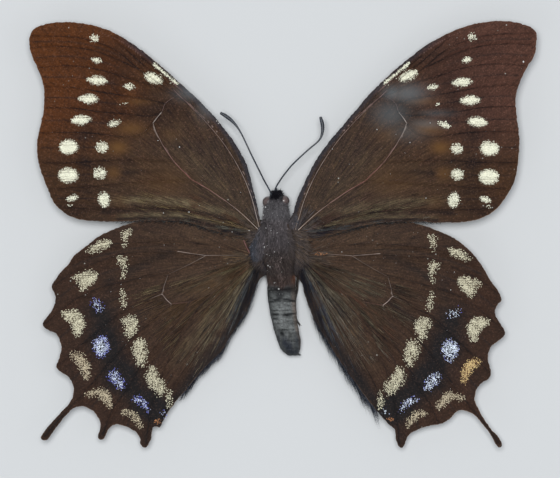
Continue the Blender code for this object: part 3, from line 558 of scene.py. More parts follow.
# What differs between fore- and hindwing, on the left wing's places: each pair is for the left and the right.
# Dark and gold lines are points, half width and strength; pairs are the veins with a fold between them.
forewing = {
    "name": "forewing", "roots": ((4.2, 0.4), (2.6, 0.4)), "edges": (leftForeEdge, rightForeEdge),
    "swing": rightForeSwing, "veins": foreVeins, "bare": foreBare, "clouds": foreClouds, "shades": foreShades,
    "paintedSheen": (forePaintedSheen["left"], forePaintedSheen["right"]), "foldLength": 17, "inset": 0.36, "blur": 0.7,
    "pairs": [(5, 6), (6, 7), (7, 8), (8, 9), (9, 10), (10, 11), (11, 12), (12, 13)],
    "dark": [([(24.0, 12.7), (28.0, 12.7), (32.0, 12.4)], 0.5, 0.70),
             ([(11.6, 3.6), (20.0, 4.9), (28.0, 5.0), (36.0, 4.7)], 0.5, 0.60),
             ([(11.0, 1.2), (19.6, 3.2), (26.6, 3.4), (33.0, 3.2)], 0.3, 0.85)],
    "gold": [([(8.0, 3.2), (16.0, 5.6), (24.0, 6.9), (36.0, 6.8)], 0.8, 1.0),
             ([(12.0, 2.3), (20.0, 3.9), (28.0, 4.0), (33.0, 3.8)], 0.5, 0.95),
             ([(6.0, 4.4), (12.0, 9.4), (18.0, 14.4), (22.0, 19.0)], 2.0, 0.16)],
}
hindwing = {
    "name": "hindwing", "roots": ((4.6, -4.4), (3.0, -4.4)), "edges": (leftHindEdge, rightHindEdge),
    "swing": rightHindSwing, "veins": hindVeins, "bare": hindBare, "clouds": [], "shades": hindShades,
    "paintedSheen": ([], []), "foldLength": 22, "inset": 0.30, "blur": 1.1,
    "pairs": [(0, 2), (2, 5), (5, 6), (6, 7), (7, 9), (9, 10)],
    "dark": [([(22.6, -3.6), (27.0, -5.2), (31.0, -7.4)], 0.9, 0.45),
             ([(23.8, -13.2), (26.4, -14.8), (30.0, -17.0)], 0.8, 0.40),
             ([(36.0, -17.4), (35.2, -21.6), (32.4, -27.4), (28.0, -32.8), (24.0, -36.0)], 3.0, 0.72),
             ([(4.0, -6.2), (5.4, -9.6), (7.2, -14.4), (10.0, -18.6), (16.2, -26.4), (21.0, -33.0)],
              1.7, 0.80)],
    "gold": [([(9.0, -9.0), (13.0, -14.6), (18.0, -21.0), (22.0, -26.0)], 1.2, 0.40),
             ([(9.0, -7.4), (14.0, -9.6), (20.0, -10.4)], 1.6, 0.30)],
}


# Left-wing places carried to the right wing
def swung(points, rows):
    points = np.asarray(points, float)
    return np.column_stack([points, np.ones(len(points))]) @ np.array(rows).T


# A spot's ring: half length times cos and half width times sin, each raised to two over the point's power
def ovalRing(out, ahead, length, width, tilt, point):
    turn = np.linspace(0, 2 * np.pi, 25)[:-1]
    u = length * np.sign(np.cos(turn)) * np.abs(np.cos(turn)) ** (2 / point)
    v = width * np.sign(np.sin(turn)) * np.abs(np.sin(turn)) ** (2 / point)
    c, s = np.cos(np.radians(tilt)), np.sin(np.radians(tilt))
    return np.column_stack([out + u * c - v * s, ahead + u * s + v * c])


# The ring moved so that its middle lies at a centre
def movedRing(ring, centre):
    return ring - ring.mean(axis=0) + np.array(centre)


# Mid surface of a wing: a gentle climb from the root that eases outwards, the hindwing one layer lower
def wingLevel(out, ahead, rootOut, hind):
    reach = np.maximum(out - rootOut, 0)
    up = wingShape["rootUp"] + wingShape["rise"] * reach - wingShape["droop"] * reach**2
    tuck = wingShape["tuck"] * ramp(ahead, -7.5, -1.5)
    return up - (wingShape["layer"] - tuck + wingShape["rearFall"] * np.maximum(-ahead - 8, 0)) * hind


# The folds between neighbouring veins: the mean of two veins, read back from the margin
def foldPaths(veins, pairs, length):
    folds = []
    for first, second in pairs:
        ends = []
        for vein in (veins[first], veins[second]):
            path = smooth(vein, 0.5)[::-1]
            run = runAlong(path)
            wanted = np.linspace(0.4, min(length, run[-1] - 0.5), 14)
            ends.append(np.column_stack([np.interp(wanted, run, path[:, k]) for k in (0, 1)]))
        folds.append((ends[0] + ends[1]) / 2)
    return folds


# The forewing's spots as rings with their densities: ovals, and the streaks at its front edge
def foreSpotRings(carry, right):
    centres = rightForeSpots if right else [row[:2] for row in foreSpots]
    cream = [(ovalRing(*centre, *row[2:6]), row[6]) for centre, row in zip(centres, foreSpots)]
    cream += [(smoothRing(carry(s), 0.4), d) for s, d in zip(foreStreaks, spotDensity["streaks"])]
    return {"cream": cream, "blue": [], "orange": [], "tan": []}


# The hindwing's spots. The fourth crescent is orange on the right wing and tan on the left.
def hindSpotRings(carry, right):
    rings = {}
    for group, shapes in hindSpots.items():
        rings[group] = [smoothRing(carry(s), 0.35) for s in shapes]
        if right:
            rings[group] = [movedRing(r, c) for r, c in zip(rings[group], rightHindCentres[group])]
    crescents = rings["crescents"]
    orange = [(r, spotDensity["corner"]) for r in rings["corner"]]
    if right:
        orange += [(crescents[3], spotDensity["orange"]), (ovalRing(*rootDash), spotDensity["dash"])]
    cream = [*zip(rings["band"], spotDensity["band"])]
    cream += [(r, spotDensity["crescent"]) for r in crescents[:3]]
    return {"cream": cream, "blue": [*zip(rings["blues"], spotDensity["blues"])], "orange": orange,
            "tan": [(r, spotDensity["tan"]) for r in crescents[3 + right:]]}


# The plan of each wing: its outline, veins and marks, carried over where it is a right one
def wingPlans():
    plans = []
    for right, sideName in enumerate(("left", "right")):
        for hind, kind in enumerate((forewing, hindwing)):
            carry = lambda points: swung(points, kind["swing"]) if right else np.array(points)
            plan = {"name": kind["name"] + "_" + sideName, "slot": kind["name"] + "_scales",
                    "side": 2 * right - 1, "hind": hind, "root": kind["roots"][right],
                    "edge": kind["edges"][right], "paintedSheen": kind["paintedSheen"][right],
                    "veins": [carry(vein) for vein in kind["veins"]]}
            for label in ("pairs", "foldLength", "inset", "blur"):
                plan[label] = kind[label]
            for label in ("bare", "dark", "gold"):
                plan[label] = [(carry(points), *rest) for points, *rest in kind[label]]
            for label in ("clouds", "shades"):
                plan[label] = [(*carry([row[:2]])[0], *row[2:]) for row in kind[label]]
            plan.update(hindSpotRings(carry, right) if hind else foreSpotRings(carry, right))
            plans.append(plan)
    return plans


# A wing sheet: points on the edge, on the veins and their flanks, and on a grid between, joined by
# triangles. The top and bottom lie half a thickness off the mid surface, which is pleated a little
# between the veins, and a vein is a rounded ridge on both.
def wingSheet(plan):
    edge = smooth(plan["edge"] + plan["edge"][:1], wingShape["edgeStep"])[:-1]
    ragged = 0.07 * hills(edge[:, 0], edge[:, 1], 0.38, 5) + 0.06 * hills(edge[:, 0], edge[:, 1], 1.0, 6)
    flow = np.roll(edge, -1, axis=0) - np.roll(edge, 1, axis=0)
    flow /= np.linalg.norm(flow, axis=1)[:, None] + 1e-9
    edge = edge + np.column_stack([flow[:, 1], -flow[:, 0]]) * ragged[:, None]
    if np.sum(edge[:, 0] * np.roll(edge[:, 1], -1) - np.roll(edge[:, 0], -1) * edge[:, 1]) < 0:
        edge = edge[::-1]
    paths = [smooth(v, 0.3) for v in plan["veins"]]
    halves = [np.linspace(0.22, 0.12, len(p)) for p in paths]
    rows = [edge]
    for path, half in zip(paths, halves):
        along = np.gradient(path, axis=0)
        across = np.column_stack([-along[:, 1], along[:, 0]]) / np.linalg.norm(along, axis=1)[:, None]
        rows += [path + across * (half * k)[:, None] for k in (-1.0, -0.5, 0.0, 0.5, 1.0)]
    low, high = edge.min(axis=0), edge.max(axis=0)
    grid = staggered(low, high, wingShape["grid"])
    coarse = [p[::3] if len(p) > 9 else p for p in paths]
    veinGap = np.min([nearPath(grid, p)[0] for p in coarse], axis=0)
    grid = grid[veinGap > 0.34]
    loose = np.vstack(rows[1:] + [grid])
    loose = loose[insideRing(loose, edge[::2])]
    rimGap = nearPath(loose, np.vstack([edge[::3], edge[:1]]))[0]
    loose = loose[rimGap > 0.16]
    spots = np.vstack([edge, loose])
    rim = [list(range(len(edge)))]
    flat, _, faces, *_ = delaunay_2d_cdt([Vector(p) for p in spots.tolist()], [], rim, 1, 0.004)
    return np.array([tuple(p) for p in flat]), np.array(faces), edge, paths, halves


# What the finish reads at each point of a wing, and how far the point stands off the wing's middle: bell
# curves of the distance to veins, folds, marks and the front edge, and depths inside the spots' rings
def wingFields(plan, place, edge, paths, halves):
    out, ahead = place.T
    root = np.array(plan["root"])
    reach = np.linalg.norm(place - root, axis=1)
    fields = {"reach": reach, "fan": np.arctan2(ahead - root[1], out - root[0])}
    fields["rim"] = nearPath(place, np.vstack([edge[::4], edge[:1]]))[0]
    vein, ridge, bare, pink, dark, gold, costa = np.zeros((7, len(place)))
    veinGap, foldGap = np.full((2, len(place)), 9.0)
    for path, half in zip(paths, halves):
        gap, share = nearPath(place, path[::2] if len(path) > 8 else path)
        width = np.interp(share, (0, 1), (half[0], half[-1]))
        faint = 0.70 + 0.34 * hills(out, ahead, 2.2, 12)
        vein = np.maximum(vein, faint * bell(gap, 0.50 * width + 0.02))
        arch = np.sqrt(np.clip(1 - (gap / width) ** 2, 0, 1))
        ridge = np.maximum(ridge, np.interp(share, (0, 1), (1, 0.45)) * arch)
        veinGap = np.minimum(veinGap, gap)
    for points, half, start, end, hue in plan["bare"]:
        gap, share = nearPath(place, smooth(points, 0.6))
        worn = np.interp(share, (0, 1), (start, end)) * (0.86 + 0.22 * hills(out, ahead, 0.9, 11))
        here = np.clip(worn * np.clip(1.35 - gap / half, 0, 1), 0, 1)
        pink = np.where(here > bare, np.interp(share, (0, 1), np.broadcast_to(hue, 2)), pink)
        bare = np.maximum(bare, here)
    for path in foldPaths(plan["veins"], plan["pairs"], plan["foldLength"]):
        gap, share = nearPath(place, path)
        foldGap = np.minimum(foldGap, gap)
        dark = np.maximum(dark, (0.62 - 0.30 * share) * bell(gap, 0.14))
    for points, half, strength in plan["dark"]:
        dark = np.maximum(dark, strength * bell(nearPath(place, smooth(points, 0.8))[0], half))
    for x, y, length, width, strength in plan["shades"]:
        dark = dark + strength * bell(out - x, length) * bell(ahead - y, width)
    fields.update(vein=vein, bare=bare, pink=pink, dark=np.clip(dark, 0, 1))
    for group in ("cream", "blue", "orange", "tan"):
        depth, fields[group + "Thick"] = depthInRings(place, plan[group])
        fields[group] = np.clip(depth, -2, 2)
    for group in ("clouds", "paintedSheen"):
        fields[group] = np.zeros(len(place))
        for x, y, length, width, strength in plan[group]:
            here = strength * bell(out - x, length) * bell(ahead - y, width)
            fields[group] = np.maximum(fields[group], here)
    fields["warm"] = ramp(ahead, 10, 27) * (1 - plan["hind"]) * (0.2 + 0.8 * ramp(out, 23, 38))
    fields["cool"] = np.full(len(place), float(plan["side"] > 0))
    for points, half, strength in plan["gold"]:
        gap, share = nearPath(place, smooth(points, 0.8))
        gold = np.maximum(gold, strength * bell(gap, half) * np.sin(np.pi * (0.08 + 0.84 * share)))
    if not plan["hind"]:
        gap, share = nearPath(place, smooth(plan["edge"][2:9], 0.8))
        costa = (1 - ramp(gap, 0.55, 1.15)) * (1 - ramp(share, 0.86, 1.0))
    fields.update(gold=gold * (0.55 if plan["side"] > 0 else 1), costa=costa)
    relief = wingShape["pleat"] * (bell(veinGap, 0.9) - bell(foldGap, 0.8))
    relief = relief * ramp(reach, 6, 18) * ramp(fields["rim"], 0, 1.2)
    relief += 0.07 * hills(out, ahead, 5.0, 3) + 0.02 * hills(out, ahead, 1.3, 4)
    wrinkle = np.sin(fields["rim"] * 11 + 2.2 * hills(out, ahead, 2.4, 8))
    relief += 0.010 * wrinkle * ramp(reach, 24, 34) * np.exp(-fields["rim"] / 9)
    return fields, relief, ridge


# The wing's own flat shape is its unwrap: the upper side on the left half of the map, the lower on the right
def wingMap(out, ahead, lower=0.0):
    return np.column_stack([(out + 2) / 54 * 0.49 + 0.005 + 0.5 * lower, (ahead + 44) / 88 * 0.98 + 0.01])


# The sheet's upper and lower skin and the rim that joins them: the rim runs along the sides of triangles that
# only one triangle has
def addWing(plan, finish):
    place, faces, edge, paths, halves = wingSheet(plan)
    fields, relief, ridge = wingFields(plan, place, edge, paths, halves)
    out, ahead = place.T
    middle = wingLevel(out, ahead, plan["root"][0], plan["hind"]) + relief
    half = wingShape["thickness"] / 2 * (0.55 + 0.45 * ramp(fields["rim"], 0, 0.5))
    half = half + 0.28 * np.exp(-((fields["reach"] / 4) ** 2))
    top = np.column_stack([plan["side"] * out, ahead, middle + half + wingShape["ridge"] * ridge])
    bottom = np.column_stack([plan["side"] * out, ahead, middle - half - 0.8 * wingShape["ridge"] * ridge])
    count = len(place)
    pairs = np.vstack([faces[:, [0, 1]], faces[:, [1, 2]], faces[:, [2, 0]]])
    keys = np.sort(pairs, axis=1) @ np.array([count, 1])
    _, first, times = np.unique(keys, return_index=True, return_counts=True)
    border = pairs[first[times == 1]]
    rim = np.column_stack([border[:, 1], border[:, 0], border[:, 0] + count, border[:, 1] + count])
    upperMap, lowerMap = wingMap(out, ahead), wingMap(out, ahead, 1.0)
    lip = upperMap + 0.0012 * np.sign(upperMap - upperMap.mean(axis=0))
    first, last = border.T
    rimMap = np.stack([upperMap[last], upperMap[first], lip[first], lip[last]], axis=1)
    maps = [upperMap[faces], lowerMap[faces[:, ::-1]], rimMap]
    both = {label: np.concatenate([values, values]) for label, values in fields.items()}
    piece = addPiece(plan["name"] + "_sheet", np.vstack([top, bottom]), [faces, faces[:, ::-1] + count, rim],
                     finish, replaces=(plan["name"],), fields=both, bakeUv=maps, sharp=50)
    print(piece.name, len(piece.data.polygons), "faces")
    return {"plan": plan, "place": place, "fields": fields, "level": top[:, 2]}


# The wings' paints, where the ground turns from the inner to the outer one, how ragged a spot's edge is, and
# how much single light scales and a spot's own tint show
foreLook = {
    "inner": paint(52, 40, 35), "outer": paint(86, 48, 21), "cool": paint(81, 53, 43),
    "lower": paint(65, 43, 26), "olive": paint(86, 69, 47), "night": paint(27, 20, 20),
    "cream": (0.75, 0.755, 0.59, 1.0), "blue": paint(70, 78, 196),
    "orange": paint(188, 120, 58), "tan": paint(198, 184, 152), "cloud": paint(100, 70, 38),
    "bareCream": paint(204, 192, 182), "barePink": paint(136, 82, 78), "paintedSheen": paint(110, 118, 122),
    "dust": paint(206, 208, 200), "lip": paint(158, 128, 104), "gold": paint(120, 110, 84),
    "spark": paint(122, 92, 78), "slate": paint(44, 46, 53), "russet": paint(92, 62, 55),
    "outerFrom": 20, "outerTo": 38, "fray": 1.0, "sparkle": 0.16, "bed": 1.0,
}
hindLook = dict(
    foreLook, inner=paint(59, 44, 35), outer=paint(54, 37, 28), lower=paint(54, 37, 28),
    olive=paint(84, 66, 49), night=paint(28, 26, 27), cream=paint(218, 213, 182),
    outerFrom=14, outerTo=34, fray=1.3, sparkle=0.10, bed=0.6,
)
# How much of a spot's tint lies under its mesh scales
underlay = {"cream": 0.62, "blue": 0.08, "orange": 0.3, "tan": 0.4}
# How fine the patterns are: cells and noise by the metre, streaks and rays by the turn round the root
wingGrain = {"scales": 5200.0, "spotScales": 6400.0, "grain": 2600.0, "mottle": 700.0, "dust": 620.0,
             "blotches": 120.0, "streaks": 34.0, "rays": 120.0, "lines": 9.0}


# Wing scales: an inner and an outer ground colour, light streaks that fan from the root, dark veins and
# folds, then clouds, spots with ragged edges made of whole scales, bare veins, a painted sheen, dust and a
# paler lip
def wingFinish(name, look):
    sheet = Sheet(name, 0.62, Specular_IOR_Level=0.07)
    place = sheet.place()
    reach, fan, rim = sheet.field("reach"), sheet.field("fan"), sheet.field("rim")
    vein, dark = sheet.field("vein"), sheet.field("dark")
    streak = sheet.noise(sheet.vector(fan * wingGrain["streaks"], reach * 0.12, 0.0), 1.0, 5.0, 0.7)
    fineRays = sheet.noise(sheet.vector(fan * wingGrain["rays"], reach * 0.28, 3.0), 1.0, 3.0, 0.6)
    blotch = sheet.noise(place, wingGrain["blotches"], 3.0).between(0.3, 0.7)
    scaleTone = sheet.cellTone(place, wingGrain["scales"])
    grain = sheet.noise(place, wingGrain["grain"], 2.0).between(0.25, 0.75)
    outward = reach.between(look["outerFrom"], look["outerTo"])
    warm = (sheet.field("warm") + (blotch - 0.5) * 0.3).clamped()
    outer = sheet.mixed(warm, look["lower"], sheet.mixed(sheet.field("cool"), look["outer"], look["cool"]))
    ground = sheet.mixed((outward + (blotch - 0.5) * 0.35).clamped(), look["inner"], outer)
    inward = 1 - reach.between(look["outerFrom"] * 0.8, look["outerTo"] * 1.15)
    ground = sheet.mixed((streak.between(0.46, 0.74) * 0.55 + fineRays.between(0.45, 0.75) * 0.45) * inward,
                         ground, look["olive"])
    ground = sheet.mixed((sheet.field("gold") * (fineRays.between(0.36, 0.62) * 0.75 + 0.1)).clamped(),
                         ground, look["gold"])
    costa = sheet.field("costa")
    edging = sheet.mixed(warm * rim.between(0.22, 0.50), look["slate"], look["russet"])
    ground = sheet.mixed(costa * 0.85, ground, edging)
    lines = sheet.noise(sheet.vector(rim * 2.6, fan * wingGrain["lines"], 0.0), 1.0, 3.0).between(0.35, 0.7)
    threads = (1 - streak.between(0.36, 0.5)) * 0.36 + (1 - fineRays.between(0.34, 0.48)) * 0.34
    shadow = (1 - lines) * 0.16 * outward + threads * (inward + 0.30 * outward) + dark * 0.95
    shadow = shadow + vein * 0.78 * (1 - 0.6 * inward)
    ground = sheet.mixed(shadow.clamped(), ground, look["night"])
    ground = sheet.mixed(scaleTone.between(0.80, 0.95) * look["sparkle"], ground, look["spark"])
    level = scaleTone * 0.30 + grain * 0.62 + fineRays.between(0.32, 0.68) * 0.26 + 0.18
    ground = sheet.toned(ground, level + sheet.noise(place, wingGrain["mottle"], 3.0) * 0.44)
    ground = sheet.mixed(sheet.field("clouds"), ground, look["cloud"])
    for group in underlay:
        depth, thick = sheet.field(group), sheet.field(group + "Thick")
        ragged = sheet.cellTone(place, wingGrain["spotScales"], 1)
        cover = (depth + (ragged - 0.5) * look["fray"] - 0.26).between(-0.04, 0.10)
        shown = cover * (thick + 0.05 - ragged * 0.95).between(0.0, 0.22) * underlay[group] * look["bed"]
        shade = sheet.mixed(scaleTone * 0.25, look[group], ground)
        ground = sheet.mixed(shown, ground, shade)
    bare = sheet.field("bare")
    hue = sheet.mixed(sheet.field("pink"), look["bareCream"], look["barePink"])
    ground = sheet.mixed(bare.between(0.12, 0.95), ground, hue)
    # Painted sheen: a bluish reflection mixed into the scales' colour
    ground = sheet.mixed(sheet.field("paintedSheen"), ground, look["paintedSheen"])
    lucky = sheet.cellTone(place, wingGrain["dust"], 2)
    dust = (1 - sheet.cells(place, wingGrain["dust"]).between(0.045, 0.11)) * lucky.between(0.80, 0.97)
    ground = sheet.mixed(dust * 0.55, ground, look["dust"])
    ground = sheet.mixed((1 - rim.between(0.02, 0.13)) * blotch * 0.6 * outward, ground, look["lip"])
    height = grain * 0.5 + scaleTone * 0.4 + streak * 0.5 + fineRays * 0.6 + lines * 0.5
    roughness = 0.62 - bare * 0.25 + grain * 0.12
    return sheet.wearing(ground, roughness, height, 0.00003, 0.55)


finishes = {0: wingFinish("forewing scales", foreLook), 1: wingFinish("hindwing scales", hindLook)}
wings = [addWing(plan, finishes[plan["hind"]]) for plan in wingPlans()]
print("wings built")


# Tufts: each is a thin closed spike of three sides along a bent line, from a root sunk in the skin to a
# point. A place on it is the root, plus the lie times the share of the length, plus the bend times the share
# squared.
tuftRings = {"share": np.array([0.0, 0.4, 0.75]), "girth": np.array([0.8, 1.0, 0.6]),
             "turn": np.radians([90, 210, 330]), "patch": 0.0015}


def tuftShape(root, lie, lift, length, width, flat, bend):
    share, girth, turn = tuftRings["share"], tuftRings["girth"], tuftRings["turn"]
    lie = unit(lie)
    side = unit(np.cross(lie, lift))
    top = np.cross(side, lie)
    line = (root[:, None] + lie[:, None] * (share * length[:, None])[..., None]
            + bend[:, None] * (share**2 * length[:, None])[..., None])
    across = side[:, None, None] * np.cos(turn)[:, None] + flat * top[:, None, None] * np.sin(turn)[:, None]
    rings = line[:, :, None] + across * (girth * width[:, None] / 2)[..., None, None]
    tip = root + lie * length[:, None] + bend * length[:, None]
    points = np.concatenate([rings.reshape(len(root), 9, 3), tip[:, None]], axis=1)
    quads = np.array([(r * 3 + j, r * 3 + (j + 1) % 3, r * 3 + 3 + (j + 1) % 3, r * 3 + 3 + j)
                      for r in (0, 1) for j in range(3)])
    ends = np.array([(6, 7, 9), (7, 8, 9), (8, 6, 9), (0, 2, 1)])
    base = (np.arange(len(root)) * 10)[:, None, None]
    return points, [(quads + base).reshape(-1, 4), (ends + base).reshape(-1, 3)]


# Each tuft's place on the bake map: a patch 0.003 across at its root's own place on the unwrapped skin
def tuftMap(spot, faces):
    local = [(np.cos(t) * g, np.sin(t) * g) for g in (1.0, 0.75, 0.5) for t in tuftRings["turn"]]
    local = np.array(local + [(0.0, 0.0)]) * tuftRings["patch"]
    whole = (np.clip(spot, 0.003, 0.997)[:, None] + local).reshape(-1, 2)
    return [whole[f] for f in faces]


# One piece of many tufts, which knows at each point how far along its tuft it lies
def addTufts(name, root, lie, lift, length, width, bend, colours, spot, finish, flat=0.5):
    points, faces = tuftShape(root, lie, lift, length, width, flat, bend)
    along = np.tile(np.repeat([*tuftRings["share"], 1.0], (3, 3, 3, 1)), len(root))
    addPiece(name, points.reshape(-1, 3), faces, finish, fields={"along": along},
             colours=np.repeat(colours, 10, axis=0), bakeUv=tuftMap(spot, faces))
    print(name, len(root), "tufts")


# Hair: the tuft's own tint, darker at its root, a little streaked, with a soft sheen
def hairFinish(name, roughness=0.62, tip=1.25, rootShade=0.62):
    sheet = Sheet(name, roughness, Specular_IOR_Level=0.12)
    level = sheet.field("along") * (tip - rootShade) + rootShade
    level = level * (sheet.noise(sheet.place(), 1800.0, 2.0) * 0.5 + 0.75)
    return sheet.wearing(sheet.toned(sheet.field("tint", "Color"), level))


# Tints moved towards a colour, each by its own amount
def blend(base, colour, amount):
    return base + (np.array(colour[:3]) - base) * np.clip(amount, 0, 1)[:, None]


# A scale: a small plate of five corners over one lower point, closed, its root sunk and its tip raised.
# Scales lie in rows on a staggered grid, turned away from the wing's root. The look gives the least and the
# most that a tint is multiplied by, and how much it turns white inwards.
scaleSize = {"step": 0.128, "length": 0.20, "width": 0.12, "lift": 0.020, "thick": 0.03, "sink": 0.012,
             "jitter": 0.05, "sway": 0.16, "tanInset": 0.12, "patch": 0.0015}
scaleLook = {"cream": (0.72, 1.08, 0.0), "blue": (0.6, 1.2, 1.0), "orange": (0.6, 1.2, 0.0),
             "tan": (0.7, 1.1, 0.0)}
scaleCorners = np.array([(0.0, 0.0), (0.42, -0.5), (1.0, -0.30), (1.0, 0.30), (0.42, 0.5)])
scaleFaces = np.array([(0, 1, 2), (0, 2, 3), (0, 3, 4),
                       (1, 0, 5), (2, 1, 5), (3, 2, 5), (4, 3, 5), (0, 4, 5)])
bluePale = (0.68, 0.77, 0.88)       # the tint at the middle of a blue patch
crescentPale = (0.22, 1.30, 2.90)   # how much more red, green and blue the crescent has than the corner


def addScales(wing, group, tint, finish, seed):
    plan = wing["plan"]
    draw = np.random.default_rng(seed)
    everyRing = [ring for ring, _ in plan[group]]
    low = np.min([r.min(axis=0) for r in everyRing], axis=0) - 0.6
    high = np.max([r.max(axis=0) for r in everyRing], axis=0) + 0.6
    spot = staggered(low, high, scaleSize["step"])
    spot = spot + draw.uniform(-scaleSize["jitter"], scaleSize["jitter"], spot.shape)
    depth, thick = depthInRings(spot, plan[group], 0.8)
    inset = scaleSize["tanInset"] if group == "tan" else plan["inset"]
    chance = np.clip(0.5 + (depth - inset) / plan["blur"], 0, 1) * thick
    chance = chance * (0.92 + 0.25 * hills(spot[:, 0], spot[:, 1], 0.7, 21))
    chosen = draw.uniform(0, 1, len(spot)) < chance
    spot, depth = spot[chosen], depth[chosen]
    away = spot - np.array(plan["root"])
    turn = np.arctan2(away[:, 1], away[:, 0]) + draw.normal(0, scaleSize["sway"], len(spot))
    size = draw.uniform(0.85, 1.15, len(spot))
    lie = np.column_stack([np.cos(turn), np.sin(turn)])
    side = np.column_stack([-lie[:, 1], lie[:, 0]])
    long, wide = scaleCorners.T
    flat = (spot[:, None] + lie[:, None] * (long * scaleSize["length"])[:, None] * size[:, None, None]
            + side[:, None] * (wide * scaleSize["width"])[:, None] * size[:, None, None])
    whole = np.concatenate([flat, (spot + lie * 0.1)[:, None]], axis=1)
    rise = np.concatenate([long * scaleSize["lift"] + scaleSize["sink"], [-scaleSize["thick"]]])
    up = topLevel(wing, spot)[:, None] + rise * draw.uniform(0.7, 1.3, len(spot))[:, None]
    points = np.concatenate([plan["side"] * whole[..., :1], whole[..., 1:], up[..., None]], axis=2)
    faces = (scaleFaces + (np.arange(len(spot)) * 6)[:, None, None]).reshape(-1, 3)
    least, most, white = scaleLook[group]
    pale = depth * 0.75 + draw.normal(0.45 if plan["side"] > 0 else 0.05, 0.35, len(spot))
    tint = blend(np.array(tint[:3]), bluePale, white * pale)
    if group == "orange":
        tint = tint * (1 + ramp(spot[:, 0], 29, 30)[:, None] * crescentPale)
    shade = tint * draw.uniform(least, most, (len(spot), 1))
    patch = np.vstack([scaleCorners - (0.5, 0), [(0, 0)]]) * scaleSize["patch"]
    spots = (wingMap(*spot.T)[:, None] + patch).reshape(-1, 2)
    name = plan["name"].replace("wing", "wing_" + group)
    piece = addPiece(name + "_scales", points.reshape(-1, 3), [faces], finish,
                     colours=np.repeat(shade, 6, axis=0), bakeUv=[spots[faces]], sharp=35)
    print(piece.name, len(spot), "scales")


# The upper side's height at places on a wing: the level, plus what the sheet's points in the same half
# millimetre stand above it on average
def topLevel(wing, spot):
    plan, place = wing["plan"], wing["place"]
    columns, wanted = np.floor(place / 0.5).astype(int), np.floor(spot / 0.5).astype(int)
    low = np.minimum(columns.min(axis=0), wanted.min(axis=0)) - 1
    shape = np.maximum(columns.max(axis=0), wanted.max(axis=0)) - low + 2
    total, count = np.zeros(shape), np.zeros(shape)
    base = wingLevel(place[:, 0], place[:, 1], plan["root"][0], plan["hind"])
    np.add.at(total, tuple((columns - low).T), wing["level"] - base)
    np.add.at(count, tuple((columns - low).T), 1)
    offset = (total / np.maximum(count, 1))[tuple((wanted - low).T)]
    known = count[tuple((wanted - low).T)] > 0
    offset = np.where(known, offset, wingShape["thickness"] / 2)
    return wingLevel(spot[:, 0], spot[:, 1], plan["root"][0], plan["hind"]) + offset


# Scales of the spots are satin and take their tint from the mesh
def scaleFinish(name):
    sheet = Sheet(name, 0.55, Specular_IOR_Level=0.4)
    level = sheet.noise(sheet.place(), 3000.0, 1.0) * 0.4 + 0.8
    return sheet.wearing(sheet.toned(sheet.field("tint", "Color"), level))


spotScales = scaleFinish("spot scales")
for number, wing in enumerate(wings):
    look = hindLook if wing["plan"]["hind"] else foreLook
    for group, seed in (("cream", 40), ("blue", 50), ("orange", 60), ("tan", 64)):
        if wing["plan"][group]:
            addScales(wing, group, look[group], spotScales, seed + number)
print("spots scaled")


# The body: one skin over head, thorax and abdomen.
# Stations: ahead, centre x, half width, lowest, highest, coat depth
bodyStations = [
    (8.85, -1.48, 0.10, 7.0, 7.4, 0.00), (8.6, -1.48, 0.60, 6.4, 8.0, 0.15),
    (8.2, -1.48, 1.02, 5.8, 8.5, 0.20), (7.6, -1.46, 1.38, 5.1, 8.8, 0.25),
    (6.8, -1.44, 1.75, 4.7, 8.8, 0.30), (6.0, -1.40, 2.45, 4.6, 8.8, 0.35),
    (5.3, -1.36, 2.75, 4.4, 8.9, 0.45), (4.2, -1.32, 2.95, 3.6, 9.6, 0.50),
    (2.6, -1.20, 3.20, 2.7, 10.5, 0.50), (0.6, -1.10, 3.35, 2.2, 11.0, 0.50),
    (-1.6, -1.00, 3.75, 2.2, 11.1, 0.50), (-3.6, -0.95, 3.75, 2.3, 10.8, 0.50),
    (-5.6, -0.75, 3.40, 2.5, 10.2, 0.45), (-7.6, -0.45, 3.10, 2.7, 9.4, 0.35),
    (-9.5, -0.33, 2.92, 2.9, 8.7, 0.20), (-10.9, -0.30, 2.92, 2.85, 8.6, 0.08),
    (-12.0, -0.25, 2.92, 2.8, 8.5, 0.06), (-15.0, 0.00, 2.75, 2.8, 8.2, 0.06),
    (-17.5, 0.35, 2.58, 2.8, 7.9, 0.06), (-19.5, 0.80, 2.48, 2.7, 7.5, 0.06),
    (-21.2, 1.25, 2.36, 2.7, 7.1, 0.06), (-22.4, 1.45, 2.10, 2.8, 6.7, 0.05),
    (-23.3, 1.70, 1.65, 3.1, 6.2, 0.04), (-23.9, 2.00, 1.00, 3.7, 5.6, 0.03),
    (-24.15, 2.15, 0.35, 4.2, 5.1, 0.00),
]
bodyTable = smooth(bodyStations, 0.1)[::-1]
bodyShape = {"squareness": 2.2, "rings": 340, "sides": 128, "rimStep": 0.10, "groove": 0.10,
             "grooveReach": 0.16}
segmentEnds = (-10.9, -13.2, -16.0, -19.0, -21.2, -22.8)


